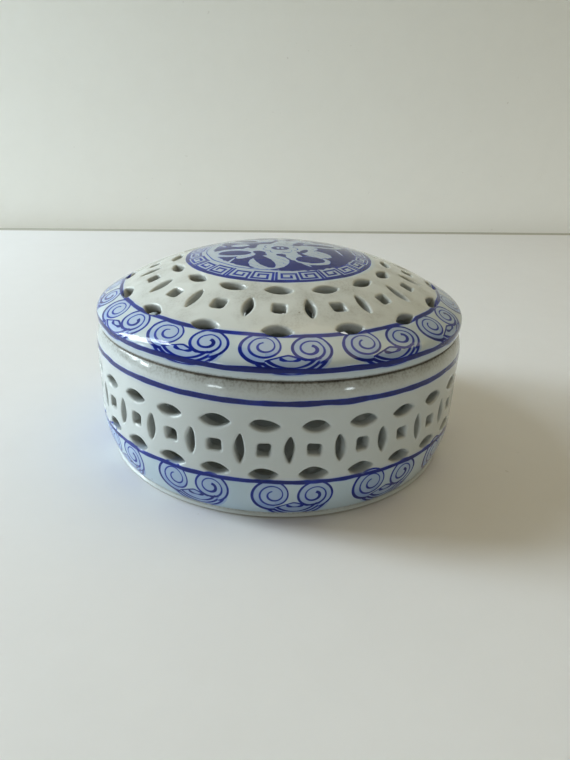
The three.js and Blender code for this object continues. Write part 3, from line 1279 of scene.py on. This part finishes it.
def inside(spot: Flat, loop: Sequence[Flat]) -> bool:
    """Tells whether a flat point lies inside a closed outline.

    Args:
        spot: The point.
        loop: The outline.

    Returns:
        True inside.
    """
    x, y = spot
    hit = False
    for (x1, y1), (x2, y2) in zip(loop, [*loop[1:], loop[0]]):
        if (y1 > y) != (y2 > y) and x < (x2 - x1) * (y - y1) / (y2 - y1) + x1:
            hit = not hit
    return hit


def lookup(curve: Sequence[Flat]) -> Callable[[float], float]:
    """Makes a function from points in rising order of their first number.

    Args:
        curve: The points.

    Returns:
        A function that reads between the points along straight lines.
    """

    def read(x: float) -> float:
        """Reads the curve at x."""
        for (x1, y1), (x2, y2) in zip(curve, curve[1:]):
            if x <= x2:
                return y1 + (y2 - y1) * (x - x1) / (x2 - x1)
        return curve[-1][1]

    return read


# ---------------------------------------------------------------- repeating a sector


@dataclass
class HandCutRing:
    """Repeats a sector round the axis and warps it a little, as holes cut by hand into damp clay are."""

    count: int
    turn: float  # of the first sector, in radians
    centre: Solid  # that the wall curves about, in metres
    flatten: Solid  # (1, 1, 0) for an upright wall, (1, 1, 1) for a dome
    warp: float = 0.55 * MM
    warp_scale: float = 95.0
    seed: float = 4.0
    swing: float = 4.0  # brings the noise, mostly within a quarter of its middle, to its full width
    weld: float = 0.01 * MM  # within which the corners of two neighbours become one

    def tree(self, name: str) -> bpy.types.NodeTree:
        """Builds the Geometry Nodes tree.

        Args:
            name: Name of the tree.

        Returns:
            The tree, with named inputs for every size.
        """
        tree = bpy.data.node_groups.new(name, "GeometryNodeTree")
        inputs = {"Geometry": "Geometry", "Count": "Int", "Turn": "Float", "Centre": "Vector", "Flatten": "Vector"}
        inputs |= {"Warp": "Float", "Warp Scale": "Float", "Seed": "Float", "Material": "Material"}
        for label, kind in inputs.items():
            tree.interface.new_socket(label, in_out="INPUT", socket_type=f"NodeSocket{kind}")
        tree.interface.new_socket("Geometry", in_out="OUTPUT", socket_type="NodeSocketGeometry")
        new, link = tree.nodes.new, tree.links.new
        source, target = new("NodeGroupInput"), new("NodeGroupOutput")

        points = new("GeometryNodePoints")
        link(source.outputs["Count"], points.inputs["Count"])
        index = new("GeometryNodeInputIndex")
        step = self._math(tree, "DIVIDE", math.tau, source.outputs["Count"])
        angle = self._math(tree, "MULTIPLY_ADD", index.outputs[0], step, source.outputs["Turn"])
        euler = new("ShaderNodeCombineXYZ")
        link(angle, euler.inputs["Z"])
        rotation = new("FunctionNodeEulerToRotation")
        link(euler.outputs[0], rotation.inputs[0])
        copies = new("GeometryNodeInstanceOnPoints")
        link(points.outputs[0], copies.inputs["Points"])
        link(source.outputs["Geometry"], copies.inputs["Instance"])
        link(rotation.outputs[0], copies.inputs["Rotation"])
        solid = new("GeometryNodeRealizeInstances")
        link(copies.outputs[0], solid.inputs[0])
        merged = new("GeometryNodeMergeByDistance")
        merged.inputs["Distance"].default_value = self.weld
        link(solid.outputs[0], merged.inputs["Geometry"])

        place = new("GeometryNodeInputPosition")
        from_centre = self._vector(tree, "SUBTRACT", place.outputs[0], source.outputs["Centre"])
        level = self._vector(tree, "MULTIPLY", from_centre, source.outputs["Flatten"])
        normal = self._vector(tree, "NORMALIZE", level)
        across = self._vector(tree, "NORMALIZE", self._vector(tree, "CROSS_PRODUCT", (0.0, 0.0, 1.0), normal))
        along = self._vector(tree, "CROSS_PRODUCT", normal, across)
        noise = new("ShaderNodeTexNoise")
        noise.noise_dimensions = "4D"
        noise.inputs["Detail"].default_value = 1.0
        link(place.outputs[0], noise.inputs["Vector"])
        link(source.outputs["Seed"], noise.inputs["W"])
        link(source.outputs["Warp Scale"], noise.inputs["Scale"])
        middle = self._vector(tree, "SUBTRACT", noise.outputs["Color"], (0.5, 0.5, 0.5))
        parts = new("ShaderNodeSeparateXYZ")
        link(middle, parts.inputs[0])
        pierced = new("GeometryNodeInputNamedAttribute")
        pierced.data_type = "FLOAT"
        pierced.inputs["Name"].default_value = "pierced"
        amount = self._math(tree, "MULTIPLY", pierced.outputs["Attribute"], source.outputs["Warp"])
        full = self._math(tree, "MULTIPLY", amount, self.swing)
        side = self._scaled(tree, across, self._math(tree, "MULTIPLY", parts.outputs["X"], full))
        length = self._scaled(tree, along, self._math(tree, "MULTIPLY", parts.outputs["Y"], full))
        moved = new("GeometryNodeSetPosition")
        link(merged.outputs[0], moved.inputs["Geometry"])
        link(self._vector(tree, "ADD", side, length), moved.inputs["Offset"])
        smooth = new("GeometryNodeSetShadeSmooth")
        link(moved.outputs[0], smooth.inputs[0])
        plain = new("GeometryNodeRealizeInstances")
        link(smooth.outputs[0], plain.inputs[0])
        finish = new("GeometryNodeSetMaterial")
        link(plain.outputs[0], finish.inputs["Geometry"])
        link(source.outputs["Material"], finish.inputs["Material"])
        link(finish.outputs[0], target.inputs[0])
        return tree

    def _math(self, tree: bpy.types.NodeTree, kind: str, *terms: object) -> bpy.types.NodeSocket:
        """Adds a sum of numbers and gives its output."""
        return self._sum(tree, "ShaderNodeMath", kind, terms)

    def _vector(self, tree: bpy.types.NodeTree, kind: str, *terms: object) -> bpy.types.NodeSocket:
        """Adds a sum of vectors and gives its output."""
        return self._sum(tree, "ShaderNodeVectorMath", kind, terms)

    def _sum(
        self, tree: bpy.types.NodeTree, node_type: str, kind: str, terms: Sequence[object]
    ) -> bpy.types.NodeSocket:
        """Adds a node of the given type with its terms linked or set."""
        node = tree.nodes.new(node_type)
        node.operation = kind
        for socket, term in zip(node.inputs, terms):
            feed(tree, socket, term)
        return node.outputs[0]

    def _scaled(
        self, tree: bpy.types.NodeTree, vector: bpy.types.NodeSocket, by: bpy.types.NodeSocket
    ) -> bpy.types.NodeSocket:
        """Adds a vector times a number and gives its output."""
        node = tree.nodes.new("ShaderNodeVectorMath")
        node.operation = "SCALE"
        tree.links.new(vector, node.inputs[0])
        tree.links.new(by, node.inputs["Scale"])
        return node.outputs[0]

    def repeat(self, sector: bpy.types.Object, name: str, material: bpy.types.Material) -> bpy.types.Object:
        """Turns one sector into the whole body.

        Args:
            sector: The repeated piece, which is removed.
            name: Name of the new piece.
            material: Its finish.

        Returns:
            The body as a plain, closed mesh.
        """
        tree = self.tree(f"{name}_ring")
        modifier = sector.modifiers.new("ring", "NODES")
        modifier.node_group = tree
        values = {
            "Count": self.count,
            "Turn": self.turn,
            "Centre": self.centre,
            "Flatten": self.flatten,
            "Warp": self.warp,
            "Warp Scale": self.warp_scale,
            "Seed": self.seed,
            "Material": material,
        }
        for item in tree.interface.items_tree:
            if item.in_out == "INPUT" and item.name in values:
                modifier[item.identifier] = values[item.name]
        graph = bpy.context.evaluated_depsgraph_get()
        mesh = bpy.data.meshes.new_from_object(sector.evaluated_get(graph), depsgraph=graph)
        sector.modifiers.remove(modifier)
        bpy.data.objects.remove(sector)
        mesh.name = name
        shell = bmesh.new()
        shell.from_mesh(mesh)
        bmesh.ops.recalc_face_normals(shell, faces=shell.faces)
        if shell.calc_volume(signed=True) < 0:
            bmesh.ops.reverse_faces(shell, faces=shell.faces)
        loose = sum(1 for edge in shell.edges if len(edge.link_faces) != 2)
        shell.to_mesh(mesh)
        shell.free()
        piece = bpy.data.objects.new(name, mesh)
        bpy.context.collection.objects.link(piece)
        log.info("%s: %d faces, %d edges that are not closed", name, len(mesh.polygons), loose)
        return piece


# ---------------------------------------------------------------- the box


@dataclass
class Bowl:
    """The round bowl with its foot ring, pierced wall, ledge and collar. Sizes in millimetres."""

    radius: float = 60.0
    wall: float = 3.2
    heel: Flat = (57.0, 1.8)
    belly_height: float = 14.0
    shoulder_height: float = 36.0
    shoulder_pull: float = 39.6
    rim_height: float = 42.6
    rim_round: float = 1.6
    collar_outside: float = 55.4
    collar_inside: float = 52.8
    collar_top: float = 45.6
    floor_under: float = 1.6
    floor_top: float = 5.2
    foot_outside: float = 57.2
    foot_inside: float = 53.6
    coins: int = 28
    turn: float = -2.3
    ring_height: float = 23.6
    petal_offset: float = 7.2
    square: Flat = (3.6, 3.4)
    lying: Flat = (8.0, 3.5)
    upright: Flat = (2.6, 8.2)
    pierced: Flat = (13.1, 34.2)  # heights between which the wall is pierced
    floor_rings: tuple[float, ...] = (44.0, 30.0, 16.0, 6.0, 0.0)
    columns: int = 10

    def outer_curve(self) -> list[Flat]:
        """The outer wall from the heel up to the ledge, as radius and height."""
        pull = (self.radius, (self.heel[1] + self.belly_height) / 2)
        rim = (self.radius - self.rim_round, self.rim_height)
        lower = bend(self.heel, pull, (self.radius, self.belly_height), 14)
        upper = bend((self.radius, self.shoulder_height), (self.radius, self.shoulder_pull), rim, 10)
        return [*lower, *upper]

    def build(self, material: bpy.types.Material) -> bpy.types.Object:
        """Models the bowl.

        Args:
            material: Its finish.

        Returns:
            The finished piece, in place.
        """
        curve = self.outer_curve()
        reach = lookup([(z, r) for r, z in curve])
        width = math.tau * self.radius / self.coins
        low, high = self.pierced
        holes = [
            Hole(HoleKind.SQUARE, (0.0, self.ring_height), *self.square),
            Hole(HoleKind.PETAL, (0.0, self.ring_height + self.petal_offset), *self.lying),
            Hole(HoleKind.PETAL, (0.0, self.ring_height - self.petal_offset), *self.lying),
            Hole(HoleKind.PETAL, (width / 2, self.ring_height), *self.upright, side=Side.RIGHT_BORDER),
            Hole(HoleKind.PETAL, (-width / 2, self.ring_height), *self.upright, side=Side.LEFT_BORDER),
        ]
        sector = Sector(
            name="bowl_sector",
            wall=RoundWall(self.radius, reach),
            thickness=self.wall,
            holes=holes,
            low_edge=spread((-width / 2, low), (width / 2, low), self.columns),
            high_edge=spread((-width / 2, high), (width / 2, high), self.columns),
            border=lambda share: (width / 2, low + (high - low) * share),
            mirror=lambda p: (-p[0], p[1]),
            trace=lambda r, z: (float(r > 57.5 or z < 5.0), z),
        )
        sector.face(sector.lip + sector.skirt, 0.0, sector.grid, True)
        sector.face(sector.inner_lip, self.wall, 2.4, False)
        sector.hole_walls()
        angles = [FRONT + x / self.radius for x, _ in sector.low_edge]
        belly = [p for p in reversed(curve) if p[1] < low - 0.2]
        shoulder = [(self.radius, 36.2), *[p for p in curve if p[1] > 37]]
        sector.band([(reach(low), low), *belly, *self.foot()], angles)
        sector.band([(reach(high), high), *shoulder, *self.collar()], angles)
        sector.band([(reach(low) - self.wall, low), *self.well()], angles)
        ring = HandCutRing(self.coins, math.radians(self.turn), (0.0, 0.0, 0.0), (1.0, 1.0, 0.0))
        return ring.repeat(sector.finish(), "bowl_shell", material)

    def foot(self) -> list[Flat]:
        """The groove, the foot ring and the underside, from the heel to the axis."""
        out, into, under = self.foot_outside, self.foot_inside, self.floor_under
        groove = [(out - 0.55, 1.45), (out - 0.6, 1.2), (out - 0.2, 0.95)]
        ring = [(out, 0.6), (out - 0.08, 0.25), (out - 0.4, 0.0)]
        inner = [(into + 0.3, 0.0), (into, 0.2), (into - 0.15, 1.0), (into - 0.4, 1.5), (into - 1.0, under)]
        return [*groove, *ring, *inner, *[(r, under) for r in self.floor_rings]]

    def collar(self) -> list[Flat]:
        """The ledge's inner part, the collar and the throat, down to the pierced wall's inner face."""
        out, into, top, rim = self.collar_outside, self.collar_inside, self.collar_top, self.rim_height
        inner_wall = self.radius - self.wall
        ledge = [(out + 1.2, rim), (out + 0.35, rim), (out + 0.1, rim + 0.12), (out, rim + 0.45)]
        outer_edge = [(out, top - 0.7), (out - 0.2, top - 0.22), (out - 0.7, top)]
        inner_edge = [(into + 0.7, top), (into + 0.2, top - 0.22), (into, top - 0.7)]
        throat = bend((into, 42.2), (into, 40.4), (into + 1.6, 39.0), 4)
        below = bend((inner_wall - 1.4, 37.8), (inner_wall, 36.6), (inner_wall, 35.4), 4)
        return [*ledge, *outer_edge, *inner_edge, *throat, *below, (inner_wall, self.pierced[1])]

    def well(self) -> list[Flat]:
        """The inner wall below the holes, the round of the well and the floor, to the axis."""
        inner_wall, floor = self.radius - self.wall, self.floor_top
        turn = bend((inner_wall, 10.2), (inner_wall, floor), (inner_wall - 5, floor), 7)
        return [(inner_wall, 11.6), *turn, *[(r, floor) for r in self.floor_rings]]


@dataclass
class Lid:
    """The domed lid with its pierced ring, shoulder and upright edge. Sizes in millimetres."""

    radius: float = 59.3
    wall: float = 3.2
    bottom: float = 42.9
    crown: float = 64.8
    edge_height: float = 3.2
    edge_taper: float = 0.4
    shoulder_radius: float = 51.4
    dome_rise: float = 12.55
    shoulder_reach: float = 0.7
    coins: int = 16
    ring_radius: float = 41.8
    petal_inset: float = 7.9
    petal_outset: float = 8.0
    square: Flat = (3.8, 3.6)
    inner: Flat = (7.8, 3.3)
    outer: Flat = (8.2, 3.5)
    upright: Flat = (2.6, 8.0)
    pierced: Flat = (30.3, 53.4)  # radii between which the dome is pierced
    paint_line: float = 51.2  # radius of the inner blue line
    crown_rings: tuple[float, ...] = (28.5, 26.5, 24.0, 21.0, 18.0, 15.0, 12.0, 9.0, 6.0, 3.0)
    inner_rings: tuple[float, ...] = (26.0, 21.0, 16.0, 11.0, 6.0)
    dome_steps: int = 60
    columns: int = 16

    @property
    def dome_radius(self) -> float:
        """Radius of the sphere that the dome is part of."""
        return (self.shoulder_radius**2 + self.dome_rise**2) / (2 * self.dome_rise)

    @property
    def dome_centre(self) -> float:
        """Height of that sphere's centre, below the table."""
        return self.crown - self.dome_radius

    def outer_curve(self) -> list[Flat]:
        """The outer face from the crown to the top of the upright edge, as radius and height."""
        ball, low = self.dome_radius, self.dome_centre
        slope = math.asin(self.shoulder_radius / ball)
        turns = [slope * i / self.dome_steps for i in range(self.dome_steps + 1)]
        dome = [(ball * math.sin(turn), low + ball * math.cos(turn)) for turn in turns]
        start, top = dome[-1], self.bottom + self.edge_height
        run = (self.radius - start[0]) * self.shoulder_reach
        along = (start[0] + run, start[1] - run * math.tan(slope))
        above = (self.radius, top + (along[1] - top) * self.shoulder_reach)
        return [*dome, *cubic(start, along, above, (self.radius, top), 16)[1:]]

    def build(self, material: bpy.types.Material) -> bpy.types.Object:
        """Models the lid.

        Args:
            material: Its finish.

        Returns:
            The finished piece, in place.
        """
        curve = self.outer_curve()
        height = lookup(curve)
        wall = DomeWall(height)
        half = math.pi / self.coins
        low, high = self.pierced
        ring = self.ring_radius
        inner_at, outer_at = ring - self.petal_inset, ring + self.petal_outset
        steep = {r: math.sqrt(1 - (r / self.dome_radius) ** 2) for r in (ring, inner_at, outer_at)}
        holes = [
            Hole(HoleKind.SQUARE, (0.0, ring), *self.square, squeeze=steep[ring]),
            Hole(HoleKind.PETAL, (0.0, inner_at), *self.inner, squeeze=steep[inner_at]),
            Hole(HoleKind.PETAL, (0.0, outer_at), *self.outer, squeeze=steep[outer_at]),
        ]
        for side, turn in ((Side.RIGHT_BORDER, -half), (Side.LEFT_BORDER, half)):
            centre = (-ring * math.sin(turn), ring * math.cos(turn))
            holes.append(Hole(HoleKind.PETAL, centre, *self.upright, turn=turn, squeeze=steep[ring], side=side))
        bearings = [half * (2 * i / self.columns - 1) for i in range(self.columns + 1)]
        sector = Sector(
            name="lid_sector",
            wall=wall,
            thickness=self.wall,
            holes=holes,
            low_edge=[(low * math.sin(b), low * math.cos(b)) for b in bearings],
            high_edge=[(high * math.sin(b), high * math.cos(b)) for b in bearings],
            border=lambda s: ((low + (high - low) * s) * math.sin(half), (low + (high - low) * s) * math.cos(half)),
            mirror=lambda p: (-p[0], p[1]),
            trace=self.trace(curve, height),
        )
        sector.face(sector.lip + sector.skirt, 0.0, sector.grid, True)
        sector.face(sector.inner_lip, self.wall, 2.6, False)
        sector.hole_walls()
        angles = [FRONT + b for b in bearings]
        crown = [(r, height(r)) for r in self.crown_rings]
        sector.band([(low, height(low)), *crown, (0.0, self.crown)], angles)
        under = [self.inner_point(wall, r) for r in (low, *self.inner_rings)]
        sector.band([*under, (0.0, self.crown - self.wall)], angles)
        shoulder = [p for p in curve if p[0] > high + 0.3]
        sector.band([(high, height(high)), *shoulder, *self.edge(self.inner_point(wall, high))], angles)
        ring_maker = HandCutRing(
            count=self.coins,
            turn=0.0,
            centre=(0.0, 0.0, self.dome_centre * MM),
            flatten=(1.0, 1.0, 1.0),
            warp=0.5 * MM,
            warp_scale=80.0,
            seed=9.0,
        )
        return ring_maker.repeat(sector.finish(), "lid_shell", material)

    def trace(self, curve: Sequence[Flat], height: Callable[[float], float]) -> Callable[[float, float], Flat]:
        """Makes the function that tells where a point lies on the lid.

        Args:
            curve: The outer face from the crown down.
            height: The outer face's height by radius.

        Returns:
            A function from radius and height to: 1 on the outer face, and the run down it from the inner blue line.
        """
        lengths = [0.0]
        for one, two in zip(curve, curve[1:]):
            lengths.append(lengths[-1] + math.dist(one, two))
        by_radius = lookup([(p[0], run) for p, run in zip(curve, lengths)])
        start = by_radius(self.paint_line)
        shoulder = list(zip(curve, lengths))[self.dome_steps :]
        end_radius, end_height = curve[-1]

        def read(radius: float, level: float) -> Flat:
            """Reads one point."""
            outer = radius > 58.0 or level > height(radius) - 1.0
            turned = [(run, math.dist(p, (radius, level))) for p, run in shoulder]
            if level < end_height:
                return float(outer), lengths[-1] - start + end_height - level
            if radius > self.shoulder_radius and outer:
                near = sorted(turned, key=lambda pair: pair[1])[:2]
                share = near[0][1] / max(near[0][1] + near[1][1], 1e-9)
                return 1.0, near[0][0] + (near[1][0] - near[0][0]) * share - start
            return float(outer), by_radius(min(radius, end_radius)) - start

        return read

    def inner_point(self, wall: Wall, radius: float) -> Flat:
        """A point of the inner face, as radius and height, below a place of the outer one."""
        x, y, z = wall.place(0.0, radius, self.wall)
        return math.hypot(x, y), z

    def edge(self, inner_start: Flat) -> list[Flat]:
        """The upright edge, the rim and the inner face, up to the pierced part."""
        out, low, rim_in = self.radius - self.edge_taper, self.bottom, self.radius - self.wall
        top = low + self.edge_height
        outside = [(self.radius - 0.06, top - 0.9), (self.radius - 0.2, low + 1.2), (out, low + 0.55)]
        rim = [(out - 0.12, low + 0.2), (out - 0.5, low), (rim_in + 0.5, low), (rim_in + 0.12, low + 0.15)]
        inside = bend((rim_in, top - 0.4), (rim_in - 0.3, top + 2.2), inner_start, 7)
        return [*outside, *rim, (rim_in, low + 0.6), *inside]


# ---------------------------------------------------------------- stage, light and camera


@dataclass
class PhotoCamera:
    """The camera, at the photograph's viewing angle."""

    place: Solid = (0.002357, -0.194291, 0.105)
    pitch: float = 24.415
    roll: float = 1.951
    yaw: float = 0.038
    focal: float = 597.8  # in the photograph's pixels
    photo_height: int = 760
    sensor: float = 36.0

    def build(self) -> bpy.types.Object:
        """Makes the camera and uses it for the scene.

        Returns:
            The camera.
        """
        pitch, roll, yaw = (math.radians(a) for a in (self.pitch, self.roll, self.yaw))
        ahead = Vector((math.sin(yaw) * math.cos(pitch), math.cos(yaw) * math.cos(pitch), -math.sin(pitch)))
        right = Vector((math.cos(yaw), -math.sin(yaw), 0.0))
        up = right.cross(ahead)
        across = math.cos(roll) * right + math.sin(roll) * up
        upwards = -math.sin(roll) * right + math.cos(roll) * up
        data = bpy.data.cameras.new("photo_camera")
        data.lens = self.focal / self.photo_height * self.sensor
        data.sensor_width = self.sensor
        data.clip_start, data.clip_end = 0.01, 20
        camera = bpy.data.objects.new("photo_camera", data)
        turn = Matrix((across, upwards, -ahead)).transposed().to_4x4()
        camera.matrix_world = Matrix.Translation(Vector(self.place)) @ turn
        bpy.context.collection.objects.link(camera)
        bpy.context.scene.camera = camera
        return camera


COOL_LIGHT: Colour = (0.84, 0.95, 1.0)
WARM_LIGHT: Colour = (1.0, 0.84, 0.53)


@dataclass(frozen=True)
class Lamp:
    """One soft lamp, with a rectangular face."""

    name: str
    place: Solid  # in metres
    aim: Solid  # what it faces
    size: Flat  # width and height of its face
    power: float  # in watts
    colour: Colour = COOL_LIGHT

    def build(self) -> None:
        """Adds the lamp to the scene."""
        data = bpy.data.lights.new(self.name, "AREA")
        data.shape = "RECTANGLE"
        data.size, data.size_y = self.size
        data.energy = self.power
        data.color = self.colour
        lamp = bpy.data.objects.new(self.name, data)
        lamp.location = self.place
        lamp.rotation_euler = (Vector(self.aim) - Vector(self.place)).to_track_quat("-Z", "Y").to_euler()
        bpy.context.collection.objects.link(lamp)


@dataclass
class Studio:
    """The pale table, the wall behind it with its painted light, a dark sheet that paints the shadow in the gap
    between them, and the soft daylight of the room.
    """

    table_colour: Colour = (0.745, 0.76, 0.79)
    wall_colour: Colour = (0.75, 0.77, 0.735)
    # Colour of the dark sheet that paints the shadow in the gap between table and wall.
    gap_shadow_colour: Colour = (0.42, 0.42, 0.38)
    crumb_colour: Colour = (0.3, 0.28, 0.24)
    wall_place: float = 0.368  # where the table ends behind the box
    wall_slope: float = 0.132
    wall_height: float = 2.0
    reach: float = 3.0  # how far the table and the wall run from the box
    gap: float = 0.016  # between the table and the wall
    room_light: float = 0.17
    lamps: tuple[Lamp, ...] = (
        Lamp("window_left", (-0.95, 0.14, 0.48), (0.0, 0.03, 0.02), (0.3, 0.45), 8.2),
        Lamp("window_pane_0", (-1.05, -0.16, 0.2), (0.0, 0.0, 0.04), (0.13, 0.1), 0.85),
        Lamp("window_pane_1", (-1.05, 0.02, 0.2), (0.0, 0.0, 0.04), (0.13, 0.1), 0.85),
        Lamp("window_pane_2", (-1.05, 0.2, 0.2), (0.0, 0.0, 0.04), (0.13, 0.1), 0.85),
        Lamp("window_back", (-0.8, 0.2, 0.85), (0.0, 0.03, 0.02), (0.2, 0.3), 3.0),
        Lamp("ceiling", (0.36, 0.42, 1.1), (0.02, 0.03, 0.0), (1.4, 1.2), 7.4, WARM_LIGHT),
        Lamp("window_front", (-0.56, -0.83, 0.17), (0.0, 0.0, 0.045), (0.16, 0.08), 0.65),
        Lamp("small_lamp", (0.72, -0.83, 0.2), (0.0, 0.0, 0.045), (0.08, 0.09), 0.45),
    )

    def surface(
        self, name: str, colour: Colour, rough: float, glow: float = 0.0, fade: float = 0.0
    ) -> bpy.types.Material:
        """A plain painted surface with a faint tone, and painted light by emission where it is asked for.

        Args:
            name: Name of the material.
            colour: Its colour.
            rough: Its roughness.
            glow: Painted light: how much paler it is, by emission, where the camera, a reflection or glass looks at
                it.
            fade: How much of that painted light is lost 0.2 m up, so that it is brighter towards the bottom.

        Returns:
            The material.
        """
        material = bpy.data.materials.new(name)
        material.use_nodes = True
        work = Painter(material.node_tree)
        shader = material.node_tree.nodes["Principled BSDF"]
        shader.inputs["Roughness"].default_value = rough
        shader.inputs["Specular IOR Level"].default_value = 0.25
        place = material.node_tree.nodes.new("ShaderNodeTexCoord").outputs["Object"]
        tone = work.noise(place, 2.5, 2.0)
        darker = tuple(0.95 * part for part in colour)
        mottled = tone + (work.noise(place, 55.0, 3.0, 0.7) - 0.5) * 0.9
        crumbs = work.noise(place, 260.0, 1.0).above(0.79, 0.03) * work.noise(place, 9.0, 1.0).above(0.55, 0.1)
        paint = work.blend(mottled.kept(0.0, 1.0), colour, darker)
        feed(material.node_tree, shader.inputs["Base Color"], work.blend(crumbs * 0.3, paint, self.crumb_colour))
        # Painted light: emission seen by the camera, in reflections and through glass, brighter towards the bottom.
        if glow:
            rays = material.node_tree.nodes.new("ShaderNodeLightPath")
            seen = work.out(rays, "Is Camera Ray").most(work.out(rays, "Is Glossy Ray"))
            seen = seen.most(work.out(rays, "Is Transmission Ray"))
            shader.inputs["Emission Color"].default_value = (*colour, 1.0)
            height = work.split(place)[2].kept(0.0, 0.2) * (fade / 0.2)
            feed(material.node_tree, shader.inputs["Emission Strength"], seen * (1.0 - height) * glow)
        return material

    def sheet(self, name: str, corners: Sequence[Solid], material: bpy.types.Material) -> bpy.types.Object:
        """Adds one flat part of the stage.

        Args:
            name: Its name.
            corners: Its corners in metres.
            material: Its finish.

        Returns:
            The object.
        """
        mesh = bpy.data.meshes.new(name)
        mesh.from_pydata(corners, [], [tuple(range(len(corners)))])
        mesh.materials.append(material)
        thing = bpy.data.objects.new(name, mesh)
        bpy.context.collection.objects.link(thing)
        return thing

    def build(self) -> None:
        """Makes the table, the wall with its painted light, the dark sheet of painted shadow in the gap, and the
        light.
        """
        far, gap, top = self.reach, self.gap, self.wall_height
        left, right = self.wall_place - far * self.wall_slope, self.wall_place + far * self.wall_slope
        table = self.surface("table_paint", self.table_colour, 0.55)
        # The wall glows with painted light, brighter near the table.
        wall = self.surface("wall_paint", self.wall_colour, 0.9, 0.26, 0.6)
        # Paint of the dark sheet of painted shadow in the gap.
        groove = self.surface("gap_shadow_paint", self.gap_shadow_colour, 0.9)
        self.sheet("table", [(-far, -far, 0), (far, -far, 0), (far, right, 0), (-far, left, 0)], table)
        foot = [(-far, left + gap, -0.3), (far, right + gap, -0.3)]
        self.sheet("wall", [*foot, (far, right + gap, top), (-far, left + gap, top)], wall)
        # A dark sheet in the gap: painted shadow between the table and the wall.
        under = -0.001
        strip = [(-far, left, under), (far, right, under), (far, right + gap, under), (-far, left + gap, under)]
        self.sheet("groove", strip, groove)
        for lamp in self.lamps:
            lamp.build()
        world = bpy.data.worlds.new("room")
        world.use_nodes = True
        background = world.node_tree.nodes["Background"]
        background.inputs["Color"].default_value = (*WARM_LIGHT, 1.0)
        background.inputs["Strength"].default_value = self.room_light
        bpy.context.scene.world = world


def main() -> None:
    """Builds the box and its stage, and reports each piece."""
    logging.basicConfig(level=logging.INFO, format="%(message)s")
    bpy.context.scene.view_settings.view_transform = "Standard"
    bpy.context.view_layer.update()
    PhotoCamera().build()
    paints = PaintBox()
    pieces = {
        "bowl": Bowl().build(BowlPainting("bowl_porcelain_glaze").material(paints)),
        "lid": Lid().build(LidPainting("lid_porcelain_glaze").material(paints)),
    }
    for body, piece in pieces.items():
        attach(piece, body)
        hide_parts(body)
        log.info("%s rides on %s", piece.name, body)
    Studio().build()


if __name__ == "__main__":
    main()
